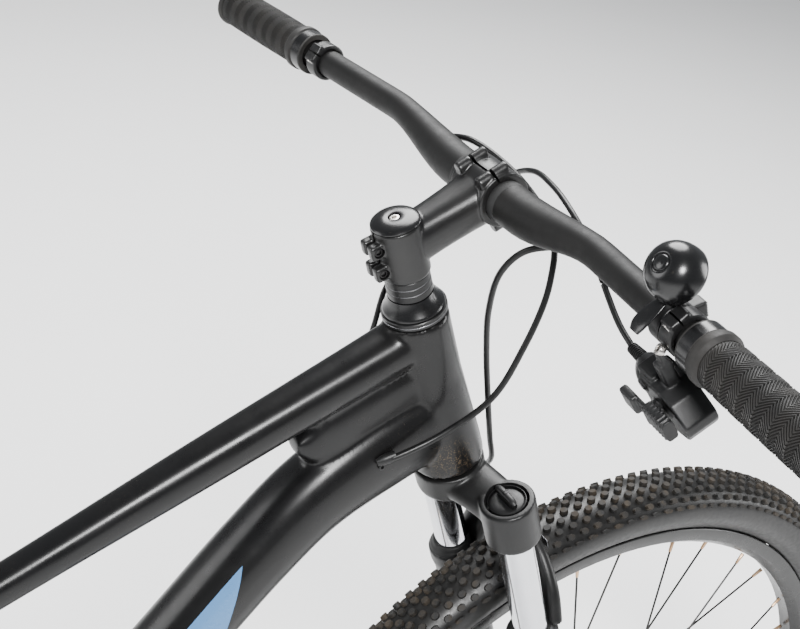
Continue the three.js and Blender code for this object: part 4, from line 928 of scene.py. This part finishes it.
low = Part(S)
low.sweep([(33, -62, -322, 8, 16), (42, -52, -292, 7, 13), (48, -32, -270, 6, 11), (50, 0, -262, 6, 11),
           (48, 32, -270, 6, 11),
           (42, 52, -292, 7, 13), (33, 62, -322, 8, 16)], X_AXIS, 32, 2.7, 8)
for side in (1, -1):
    leg_m = at(S, LEG_X, side * LEG_Y, 0)
    low.lathe([(0, -667.6), (11.5, -667.6), (13, -666), (14, -630), (17.8, -590), (20.8, -345), (22.8, -334),
               (22.8, -322),
               (22, -321.2), (0, -321.2)], 64, m=leg_m)
    low.prism(link_outline(AXLE_X, AXLE_Z, 14.6, LEG_X, -640, 12), side * 52.4, side * 65.6, 1.0)
lower = low.make("fork_lower_legs", "fork_lowers", [M["fork"]], ("fork_lowers",), "fork_paint", remesh=1.6,
                 smooth=6)
cuts = Part(S)
for side in (1, -1):
    cuts.rod((LEG_X, side * LEG_Y, -578), (LEG_X, side * LEG_Y, -300), 15.25, 48, bevel=0)
cuts.rod((AXLE_X, -90, AXLE_Z), (AXLE_X, 90, AXLE_Z), 6.5, 24, bevel=0)
cuts.box((-20, -50.6, -700), (80, 50.6, -600), 1, 1)
carve(lower, cuts)
seals = Part()
for side in (1, -1):
    seals.lathe([(15.1, -321.4), (21.4, -321.4), (21.6, -320.9), (20.6, -319.6), (19.6, -318.2),
                 (18.2, -317.2), (17.6, -315.4),
                 (16.3, -314.2), (15.1, -313.9)], 64, m=at(S, LEG_X, side * LEG_Y, 0), closed=True)
seals.make("fork_dust_seals", "fork_lowers", [M["seal"]], slot="fork_paint")
patch = Part(S)
patch.box((56.3, -37, -271.5), (57.0, -28.5, -262.8), 0.3, 1)


def axle_part(name, node, half, centre, m, body):
    part = Part(m @ Matrix.Translation(centre))
    part.lathe([(0, -half - 5.8), (5.4, -half - 5.8), (5.6, -half - 4), (6.4, -half - 4), (6.6, -half - 5.8),
                (8.9, -half - 5.8),
                (9.4, -half - 5.2), (9.4, -half - 0.4), (9, -half - 0.05), (5.9, -half), (5.9, half),
                (9, half + 0.05),
                (9.4, half + 0.5), (9.4, half + 5.2), (8.9, half + 5.8), (0, half + 5.8)], 48, "y")
    part.make(name, body, [M["satin"]], (node,), "axle_black")


axle_part("front_through_axle", "front_axle", 66.3, (AXLE_X, 0, AXLE_Z), S, "fork_lowers")
axle_part("rear_through_axle", "rear_axle", 75.3, REAR, MM, "frame")


def caliper_part(name, node, cx, cz, rotor, low_y, high_y, house_y, m, body):
    angle = -math.atan2(cz, cx)
    place = m @ Matrix.Translation((cx, 0, cz)) @ Matrix.Rotation(angle, 4, "Y")
    part = Part(place)
    part.box((-17, low_y, -22), (15, high_y, 22), 3, 4)
    part.rod((5, high_y - 3, 0), (5, house_y, 0), 9, 32, bevel=1.5)
    body_obj = part.make(name, body, [M["satin"]], (node,), "caliper_black", remesh=0.9, smooth=4)
    cuts = Part(place)
    cuts.box((-22, rotor - 1.9, -30), (9, rotor + 1.9, 30), 0.3, 1)
    carve(body_obj, cuts)
    bolts = Part(place)
    for z in (-16, 16):
        bolts.bolt((10.5, high_y + 2.4, z), (0, 1, 0), 3.4)
    bolts.make(name + "_bolts", body, [M["black_bolt"]], slot="caliper_black")


caliper_part("front_caliper", "front_brake_caliper", -67, 31, 41, 32.2, 45.8, 57.8,
             S @ Matrix.Translation((AXLE_X, 0, AXLE_Z)), "fork_lowers")
caliper_part("rear_caliper", "rear_brake_caliper", 66, 46, 53, 43.2, 58.8, 60.4, at(MM, *REAR), "frame")


# ---- Wheels --------------------------------------------------------------------------------------
def wheel(prefix, centre, body, half, left, right, flange, rotor):
    m = at(MM, *centre)
    tyre = Part(m)
    profile = [(317.5, -14.8), (322, -19.5), (331, -26.0), (338, -27.6), (345, -27.7), (351, -26.4),
               (357, -22.6), (361.5, -16),
               (364.6, -8), (365.4, 0)]
    tyre.slot = 1
    tyre.lathe(profile + [(r, -y) for r, y in reversed(profile[:-1])], 120, "y", closed=True)
    tyre.slot = 0
    rows = 156
    lanes = [(0.0, 3.1, 365.2, 368.9), (7.9, 3.0, 364.2, 368.1), (15.4, 2.9, 361.3, 365.4),
             (21.8, 2.7, 357.0, 361.3),
             (25.4, 1.9, 350.6, 353.6)]
    for k in range(rows):
        for lane, (y, w, base_r, top_r) in enumerate(lanes):
            for s in ((1, -1) if lane else (1,)):
                a = 2 * math.pi * (k + (0.5 if lane % 2 else 0.0) + (0.12 if s < 0 else 0)) / rows
                size = 3.6 if lane < 4 else 4.6
                lean = (0, 0.18, 0.42, 0.75, 1.15)[lane]
                place = m @ Matrix.Rotation(-a, 4,
                                            "Y") @ Matrix.Translation((base_r, s * y,
                                                                       0)) @ Matrix.Rotation(s * lean, 4, "Z")
                tall = top_r - base_r
                rings = []
                for h, g in ((-1.4, 1.08), (tall * 0.82, 1.0), (tall, 0.9)):
                    ring = []
                    for q in range(8):
                        t = math.pi / 4 * (q + (0.62 if q % 2 else 0.38))
                        cx = math.copysign(min(1, 1.5 * abs(math.cos(t))), math.cos(t)) * size * g
                        cy = math.copysign(min(1, 1.5 * abs(math.sin(t))), math.sin(t)) * w * g
                        ring.append((h, cy, cx))
                    rings.append(ring)
                tyre.rings(rings, m=place)
    tyre.make(f"{prefix}_tread_tyre", body, [M["tyre"], M["sidewall"]], (f"{prefix}_tyre",), "tyre_rubber",
              sharp=40)

    rim = Part(m)
    well = [(296.6, -8.2), (297.6, -9.4), (303.4, -15.8), (305, -16.8), (316.2, -17.0), (316.9, -16.4),
            (316.9, -14.6), (311, -13.6),
            (309, -9)]
    rim.lathe(well + [(r, -y) for r, y in reversed(well)], 120, "y", closed=True)
    rim.make(f"{prefix}_rim_hoop", body, [M["rim"]], (f"{prefix}_rim",), "black_rim")

    hub = Part(m)
    hub.lathe([(6.5, -half), (9.6, -half), (10, -half + 0.5), (10, right - 3), (flange - 1, right - 2.1),
               (flange, right - 1.2),
               (flange, right + 1.2), (flange - 1, right + 2.1), (15, right + 4), (13, right + 8),
               (12.6, (left + right) / 2),
               (13, left - 8), (15, left - 4), (flange - 1, left - 2.1), (flange, left - 1.2),
               (flange, left + 1.2),
               (flange - 1, left + 2.1), (17.6, left + 3), (17.8, rotor + 2.6), (10, rotor + 2.9),
               (10, half - 0.5), (9.6, half),
               (6.5, half)], 64, "y", closed=True)
    for k in range(32):
        on_left = k % 2 == 0
        lead = 1 if k % 4 < 2 else -1
        rim_a = 2 * math.pi * k / 32
        hub_a = rim_a + lead * math.radians(62)
        fy = left if on_left else right
        r = flange - 3.5
        a = Vector((r * math.cos(hub_a), fy + 2.2 * lead, r * math.sin(hub_a)))
        b = Vector((294.3 * math.cos(rim_a), 3 if on_left else -3, 294.3 * math.sin(rim_a)))
        d = (b - a).normalized()
        hub.slot = 1
        hub.rod(a, b - d * 11, 1.0, 8, bevel=0.1).rod(a - SIDE * lead * 1.6, a + SIDE * lead * 0.9, 1.9, 10,
                                                      bevel=0.4)
        hub.slot = 2
        hub.rod(b - d * 12, b, 1.5, 8, 1.9, bevel=0.3)
    hub.make(f"{prefix}_wheel_hub", body, [M["satin"], M["spoke"], M["nipple"]],
             (f"{prefix}_hub_and_spokes",), "hub_black")

    disc = Part(m)
    segs = 144
    rings = []
    for r, y in ((64, -0.85), (79.9, -0.85), (79.9, 0.85), (64, 0.85)):
        ring = []
        for k in range(segs):
            a = 2 * math.pi * k / segs
            q = r - (1.5 * saw(k / 12) if r > 70 else -1.2 * saw(k / 12))
            ring.append((q * math.cos(a), rotor + y, q * math.sin(a)))
        rings.append(ring)
    disc.rings(rings, closed=True)
    disc.lathe([(18.5, rotor - 0.85), (27, rotor - 0.85), (27.5, rotor), (27, rotor + 0.85),
                (18.5, rotor + 0.85)], 64, "y", closed=True)
    for k in range(6):
        a = math.pi * k / 3
        b = a + 0.5
        p = [(q * math.cos(w), rotor, q * math.sin(w)) for q,
             w in ((25, a), (40, a + 0.2), (54, a + 0.36), (66, b))]
        disc.sweep([(*p[0], 3.2, 0.85), (*p[1], 2.6, 0.85), (*p[2], 2.6, 0.85), (*p[3], 3.4, 0.85)],
                   Vector((math.sin(a), 0, -math.cos(a))), 10, 4, 5)
    disc.slot = 1
    for k in range(6):
        a = math.pi * (k + 0.5) / 3
        disc.bolt((22.5 * math.cos(a), rotor + 2.6, 22.5 * math.sin(a)), (0, 1, 0), 2.6, 1.4, 1.8)
    disc.make(f"{prefix}_disc_rotor", body, [M["steel"], M["black_bolt"]], (f"{prefix}_brake_rotor",),
              "rotor_steel")


wheel("front", FRONT, "front_wheel", 49.7, 25, -33, 24, 41)
wheel("rear", REAR, "rear_wheel", 67.2, 33, -22, 28, 53)

# ---- Drivetrain ----------------------------------------------------------------------------------
CHAIN_Y = -50
GUIDE = (-588, 257)
TENSION = (-556, 178)


def pitch_radius(teeth):
    return LINK / 2 / math.sin(math.pi / teeth)


def sprocket(part, x, z, teeth, y, thick, inner, root_drop=3.4, tip=1.9):
    """Toothed disc in the x-z plane."""
    r = pitch_radius(teeth)
    rings = []
    pts = [(0.0, r - root_drop), (0.12, r - root_drop), (0.30, r - 0.6), (0.42, r + tip), (0.58, r + tip),
           (0.70, r - 0.6),
           (0.88, r - root_drop)]
    for y_off, shrink in ((-thick, 0.5), (-thick * 0.5, 0), (thick * 0.5, 0), (thick, 0.5)):
        rings.append([((q - shrink * (q > r)) * math.cos(2 * math.pi * (k + f) / teeth) + x, y + y_off,
                       (q - shrink * (q > r)) * math.sin(2 * math.pi * (k + f) / teeth) + z)
                       for k in range(teeth) for f, q in pts])
    hole = [[(inner * math.cos(2 * math.pi * (k + f) / teeth) + x, y + y_off,
              inner * math.sin(2 * math.pi * (k + f) / teeth) + z)
             for k in range(teeth) for f, q in pts] for y_off in (thick, -thick)]
    part.rings(rings + hole, closed=True)


def belt(wheels, step):
    """Evenly spaced points and headings on the line of a chain round wheels (x, z, r, turn)."""
    n = len(wheels)
    heads = []
    for i in range(n):
        ax, az, ar, at_ = wheels[i]
        bx, bz, br, bt = wheels[(i + 1) % n]
        heads.append(math.atan2(bz - az,
                                bx - ax) - math.asin((bt * br - at_ * ar) / math.hypot(bx - ax, bz - az)))
    dense = []
    for i, (x, z, r, turn) in enumerate(wheels):
        arrive = heads[i - 1]
        sweep = ((heads[i] - arrive) * turn) % (2 * math.pi)
        for s in range(61):
            h = arrive + turn * sweep * s / 60
            dense.append(Vector((x + turn * r * math.sin(h), z - turn * r * math.cos(h))))
    dense.append(dense[0])
    lengths = [0.0]
    for a, b in zip(dense, dense[1:]):
        lengths.append(lengths[-1] + (b - a).length)
    count = int(round(lengths[-1] / step / 2)) * 2
    out, j = [], 0
    for k in range(count):
        want = lengths[-1] * k / count
        while lengths[j + 1] < want:
            j += 1
        t = (want - lengths[j]) / max(lengths[j + 1] - lengths[j], 1e-9)
        out.append(dense[j].lerp(dense[j + 1], t))
    return out


chain = Part()
pins = belt([(BB.x, BB.z, pitch_radius(32), -1), (*TENSION, pitch_radius(12), -1),
             (*GUIDE, pitch_radius(12), 1),
             (REAR.x, REAR.z, pitch_radius(16), -1)], LINK)
for k, p in enumerate(pins):
    q = pins[(k + 1) % len(pins)]
    d = (q - p).normalized()
    side_off = 2.35 if k % 2 else 1.45
    h = math.atan2(d.y, d.x)
    place = MM @ Matrix.Translation((p.x, 0, p.y)) @ Matrix.Rotation(-h, 4, "Y")
    reach = (q - p).length
    outline = []
    for a in range(-90, 91, 30):
        outline.append((reach + 3.9 * math.cos(math.radians(a)), 3.9 * math.sin(math.radians(a))))
    outline.append((reach / 2, 2.9))
    for a in range(90, 271, 30):
        outline.append((3.9 * math.cos(math.radians(a)), 3.9 * math.sin(math.radians(a))))
    outline.append((reach / 2, -2.9))
    for s in (-1, 1):
        mid = CHAIN_Y + s * side_off
        chain.prism(outline, mid - 0.42, mid + 0.42, 0, m=place)
    chain.rod((0, CHAIN_Y - 2.68, 0), (0, CHAIN_Y + 2.68, 0), 1.7, 10, bevel=0.2, m=place)
    chain.rod((0, CHAIN_Y - 1.0, 0), (0, CHAIN_Y + 1.0, 0), 3.7, 12, bevel=0.2, m=place)
chain.make("roller_chain", "frame", [M["chain"]], ("chain",), "chain_steel")

cogs = Part(at(MM, *REAR))
for y, teeth, big in ((-28.3, 42, 0), (-32.0, 36, 0), (-35.7, 32, 0), (-39.2, 28, 0), (-42.7, 24, 0),
                      (-46.0, 20, 0), (-50.0, 16, 1),
                      (-53.6, 15, 0), (-57.2, 13, 0), (-60.6, 11, 0)):
    r = pitch_radius(teeth)
    sprocket(cogs, 0, 0, teeth, y, 0.85, max(14.5, r * 0.55), tip=1.4 if not big else 1.2)
    if r * 0.55 > 15:
        for k in range(5):
            a = 2 * math.pi * k / 5 + y
            cogs.sweep([(13 * math.cos(a), y, 13 * math.sin(a), 5, 0.8),
                        ((r * 0.6) * math.cos(a + 0.25), y, (r * 0.6) * math.sin(a + 0.25), 4, 0.8)],
                       Vector((-math.sin(a), 0, math.cos(a))), 8, 4, 3)
cogs.lathe([(10.8, -61.6), (14.4, -61.8), (15.2, -61), (15.2, -27.4), (14.6, -27), (10.8, -27)], 48, "y",
           closed=True)
cogs.make("cassette_cogs", "cassette", [M["steel"]], ("cassette",), "chain_steel", sharp=30)

for name, (x, z) in (("guide_pulley", GUIDE), ("tension_pulley", TENSION)):
    wheel_part = Part()
    sprocket(wheel_part, x, z, 12, CHAIN_Y, 1.1, 6.5, 4.9, -3.6)
    wheel_part.lathe([(3.4, -1.6), (6.4, -1.6), (7, -1.1), (7, 1.1), (6.4, 1.6), (3.4, 1.6)], 32, "y",
                     m=at(MM, x, CHAIN_Y, z), closed=True)
    wheel_part.make(name + "_wheel", name, [M["plastic"]], (name,), "gear_plastic", sharp=30)

mech = Part()
for low_y, high_y in ((-43.9, -41.9), (-58.1, -56.1)):
    cage = link_outline(*GUIDE, 14.6, *TENSION, 12.6, 18)
    mech.prism(cage, low_y, high_y, 0.5)
mech.rod((GUIDE[0], -84, GUIDE[1]), (GUIDE[0], -57, GUIDE[1]), 13.6, 40, bevel=2)
mech.prism(link_outline(HANGER_X, HANGER_Z, 12, *GUIDE, 11, 18), -89.6, -78.4, 2.6, 4)
mech.rod((HANGER_X, -89.8, HANGER_Z), (HANGER_X, -75.6, HANGER_Z), 11.8, 40, bevel=1.4)
mech.rod((HANGER_X, -80, HANGER_Z), (HANGER_X, -66.4, HANGER_Z), 3.9, 24)
for x, z in (GUIDE, TENSION):
    mech.rod((x, -58, z), (x, -42, z), 2.9, 24)
mech.slot = 1
for x, z in (GUIDE, TENSION):
    mech.bolt((x, -58.6, z), (0, -1, 0), 3.6)
mech.bolt((HANGER_X, -90, HANGER_Z), (0, -1, 0), 6)
mech.make("derailleur_body", "frame", [M["satin"], M["bolt"]], ("rear_derailleur",), "gear_plastic")

CENTRE = at(MM, *BB)
right = Part(CENTRE)
right.prism(link_outline(0, 0, 18, CRANK, 0, 13, 20), -72.8, -60.8, 3, 5)
right.rod((0, -62, 0), (0, -39.2, 0), 18.8, 48, bevel=1)
right.rod((CRANK, -168, 0), (CRANK, -70, 0), 4.9, 24)
for k in range(4):
    a = math.pi / 4 + math.pi / 2 * k
    right.sweep([(8 * math.cos(a), -54, 8 * math.sin(a), 9, 4),
                 (34 * math.cos(a), -52.4, 34 * math.sin(a), 6.5, 3),
                 (52 * math.cos(a), -50.6, 52 * math.sin(a), 6, 1.8)], Vector((-math.sin(a), 0, math.cos(a))),
                 20, 3.4, 6, round_ends=1.5)
right.slot = 1
sprocket(right, 0, 0, 32, CHAIN_Y, 0.95, 50, 3.4, 1.2)
right.slot = 2
for k in range(4):
    a = math.pi / 4 + math.pi / 2 * k
    right.bolt((51 * math.cos(a), -53.2, 51 * math.sin(a)), (0, -1, 0), 4)
right.bolt((0, -73.0, 0), (0, -1, 0), 9, 3, 2.5)
right.make("crank_right_arm", "crank", [M["satin"], M["steel"], M["black_bolt"]], ("crank_right",),
           "anodised_black", sharp=32)
left = Part(CENTRE)
left.prism([(-x, z) for x, z in link_outline(0, 0, 18, CRANK, 0, 13, 20)], 60.8, 72.8, 3, 5)
left.rod((0, 39.2, 0), (0, 62, 0), 18.8, 48, bevel=1).rod((0, -60, 0), (0, 62, 0), 11.9, 40)
left.rod((-CRANK, 70, 0), (-CRANK, 168, 0), 4.9, 24)
left.slot = 1
left.bolt((0, 73.0, 0), (0, 1, 0), 9, 3, 2.5)
left.make("crank_left_arm", "crank", [M["satin"], M["black_bolt"]], ("crank_left",), "anodised_black")

for side, name in NAMES.items():
    pedal_m = CENTRE @ Matrix.Translation((-side * CRANK, 0, 0)) @ Matrix.Diagonal((1, side, 1, 1))
    pedal = Part(pedal_m)
    for x in (-46, 41):
        pedal.box((x, 85, -8.6), (x + 5, 174, 8.6), 2.2, 3)
    for y in (84.6, 168):
        pedal.box((-46, y, -8.4), (46, y + 6, 8.4), 2.2, 3)
    for x in (-30, 23):
        pedal.box((x, 88, -7.6), (x + 7, 172, 7.6), 2, 3)
    pedal.lathe([(5.4, 78.2), (9.6, 78.2), (10.6, 79.4), (11, 84), (9.2, 100), (9.2, 160), (10.4, 168),
                 (10.4, 175), (9.6, 175.8),
                 (5.4, 175.8)], 40, "y", closed=True)
    pedal.box((-42, 117, -4), (-8, 130, 4), 1.6, 3).box((8, 117, -4), (42, 130, 4), 1.6, 3)
    pedal.slot = 1
    for x in (-43.5, 43.5):
        for y in (92, 108, 124, 140, 156, 168):
            pedal.rod((x, y, -8.98), (x, y, 8.98), 1.5, 12, bevel=0.3)
    pedal.slot = 2
    for s in (-1, 1):
        for y in (98, 148):
            pedal.box((s * 50 - 0.9, y, -5.4), (s * 50 - 0.1 if s > 0 else s * 50 + 0.9, y + 16, 5.4), 0.3, 1)
    amber = coated(f"pedal_reflector_{name}", (0.55, 0.20, 0.02), (0.62, 0.26, 0.03), 0.22, fine=400,
                   grain=0.5, coat=0.6)
    pedal.make(f"pedal_{name}_body", f"pedal_{name}", [M["plastic"], M["bolt"], amber], (f"pedal_{name}",),
               "pedal_plastic")

# ---- Saddle and post -----------------------------------------------------------------------------
head = along_seat(656)
post = Part()
post.rod(along_seat(250), along_seat(645), 15.4, 48)
post.rod(along_seat(638), along_seat(654), 15.3, 48, 14, bevel=2)
post.box((head.x - 21.8, -26.8, head.z - 9.8), (head.x + 21.8, 26.8, head.z + 11.8), 4, 4)
post_obj = post.make("seatpost_tube", "seatpost", [M["satin"]], ("seatpost",), "anodised_black", remesh=1.3,
                     smooth=3)
rail_z = head.z + 4
cuts = Part()
for y in (22, -22):
    cuts.rod((head.x - 40, y, rail_z), (head.x + 40, y, rail_z), 3.75, 24, bevel=0)
carve(post_obj, cuts)
rails = Part()
deck = rail_z + 22
for s in (1, -1):
    rails.tube([(head.x + 100, 13 * s, deck + 2), (head.x + 76, 17.6 * s, rail_z + 12),
                (head.x + 52, 22 * s, rail_z + 0.6),
                (head.x + 30, 22 * s, rail_z), (head.x - 30, 22 * s, rail_z),
                (head.x - 48, 22 * s, rail_z + 0.6),
                (head.x - 74, 25.2 * s, rail_z + 14), (head.x - 98, 28.6 * s, deck + 5)], 3.4, 20, 8)
rails.slot = 1
for s in (1, -1):
    rails.bolt((head.x + 14 * s, 0, head.z - 11.6), (0, 0, -1), 4)
rails.make("saddle_rails", "seatpost", [M["black_bolt"], M["bolt"]], slot="saddle_cover")
PAD = [(head.x + 134.6, 0, deck + 8, 11, 7.4), (head.x + 125, 0, deck + 9, 19, 11),
       (head.x + 96, 0, deck + 9.6, 21.4, 12.6),
       (head.x + 60, 0, deck + 10, 23.4, 13.4), (head.x + 18, 0, deck + 10, 29, 14.2),
       (head.x - 20, 0, deck + 10.2, 41.4, 14.6),
       (head.x - 54, 0, deck + 11.6, 57, 15.8), (head.x - 80, 0, deck + 13, 67, 16.6),
       (head.x - 104, 0, deck + 14.8, 70, 16.8),
       (head.x - 122, 0, deck + 16, 69, 16.4), (head.x - 136, 0, deck + 17, 51, 11.6)]
pad = Part()
pad.sweep(PAD, SIDE, 64, 2.5, 9, round_ends=1.6)
saddle = pad.make("saddle_pad", "seatpost", [M["leather"]], ("saddle",), "saddle_cover", sharp=0)
for v in saddle.data.vertices:
    x, y, z = (1000 * c for c in v.co)
    u = (x - head.x + 136) / 270
    top = smoothstep(z, deck + 8, deck + 20)
    groove = math.exp(-(y / 7.5) ** 2) * smoothstep(u, 0.06, 0.2) * (1 - smoothstep(u, 0.78, 0.95))
    dip = 3.4 * groove * top
    seam = 0.7 * math.exp(-((abs(y) - (16 + 30 * (1 - smoothstep(u, 0.05, 0.6)))) / 1.3) ** 2) * top
    under = smoothstep(deck + 6 - z, 0, 8)
    v.co.z -= 0.001 * (dip + seam)
    v.co.z += 0.001 * under * 3.0

# ---- Cables --------------------------------------------------------------------------------------
HOSES = {
    "rear_brake_hose": (2.5, [(91, 166, 64.5), (90, 130, 62), (94, 95, 66), (101, 60, 74), (106, 25, 68),
                              (107, -5, 58), (104, -32, 45),
                              (97, -47, 32), (88, -53, 16), (77, -56, -2), (54, -57, -31), (24, -52, -66),
                              (-17, -41, -86),
                              (-52, -34, -91), (-62, -31, -92)]),
    "front_brake_hose": (2.5,
                         [(85, -165.5, 62), (91, -135, 67), (97, -110, 62), (95, -85, 54), (84, -66, 51),
                          (70, -50, 45), (57, -36, 26),
                               (50, -20, -15), (47, -10, -59), (45, 0, -118), (46, 12, -170), (51, 28, -210),
                               (52, 60, -250),
                               (40, 84, -285), (22, 93, -330), (10, 92, -400), (0, 84, -480), (-12, 76, -560),
                               (-20, 68, -585)]),
    "shift_cable": (2.2, [(66.6, -178.4, 43), (71, -160, 47), (82, -130, 56), (91, -105, 69), (98, -75, 79),
                          (108, -38, 77), (115, 0, 68),
                          (110, 34, 48), (82, 50, 28), (42, 49, 12), (0, 39, 3), (-23, 31, -22),
                          (-38, 26, -38)]),
}
for name, (r, points) in HOSES.items():
    hose = Part(S)
    hose.tube(points, r, 16, 12)
    mesh = bpy.data.meshes.new(name + "_jacket")
    mesh.from_pydata(hose.verts, [], hose.faces)
    mesh.materials.append(M["hose"])
    mesh.shade_smooth()
    mesh.set_sharp_from_angle(angle=math.radians(50))
    obj = bpy.data.objects.new(name + "_jacket", mesh)
    bpy.context.scene.collection.objects.link(obj)
    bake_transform(obj)
    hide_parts(name)

port.slot = 0
port.make("cable_port", "frame", [M["plastic"]], slot="frame_paint")
patch.make("arch_mark", "fork_lowers", [M["edge"]], slot="fork_paint")

# ---- Studio --------------------------------------------------------------------------------------
floor_mesh = bpy.data.meshes.new("floor")
size = 14.0
floor_mesh.from_pydata([(-size, -size, 0), (size, -size, 0), (size, size, 0), (-size, size, 0)], [],
                       [(0, 1, 2, 3)])
floor = bpy.data.objects.new("floor", floor_mesh)
bpy.context.scene.collection.objects.link(floor)
paper = Nodes("floor_paper")
paper.set("Base Color", paper.mix(paper.noise(3.0, 3), (0.86, 0.86, 0.86), (0.89, 0.89, 0.885)))
paper.set("Roughness", 0.9)
floor_mesh.materials.append(paper.mat)
world = bpy.data.worlds.new("studio")
world.use_nodes = True
world.node_tree.nodes["Background"].inputs["Color"].default_value = (0.86, 0.89, 0.93, 1)
world.node_tree.nodes["Background"].inputs["Strength"].default_value = 0.42
bpy.context.scene.world = world


def soft_light(name, place, target, size_m, watts):
    data = bpy.data.lights.new(name, "AREA")
    data.shape, data.size, data.energy = "DISK", size_m, watts
    light = bpy.data.objects.new(name, data)
    aim = (Vector(target) - Vector(place)).to_track_quat("-Z", "Y")
    light.matrix_world = Matrix.Translation(place) @ aim.to_matrix().to_4x4()
    bpy.context.scene.collection.objects.link(light)


soft_light("key", (-0.9, -2.5, 3.1), (0.3, 0, 0.9), 1.0, 260)
soft_light("top", (1.4, 1.8, 3.6), (0.3, 0, 0.6), 2.6, 330)
soft_light("fill", (-3.0, 1.6, 1.6), (0.0, 0, 0.6), 2.2, 70)
soft_light("rim", (3.0, -1.0, 1.4), (0.4, 0, 0.8), 1.4, 50)
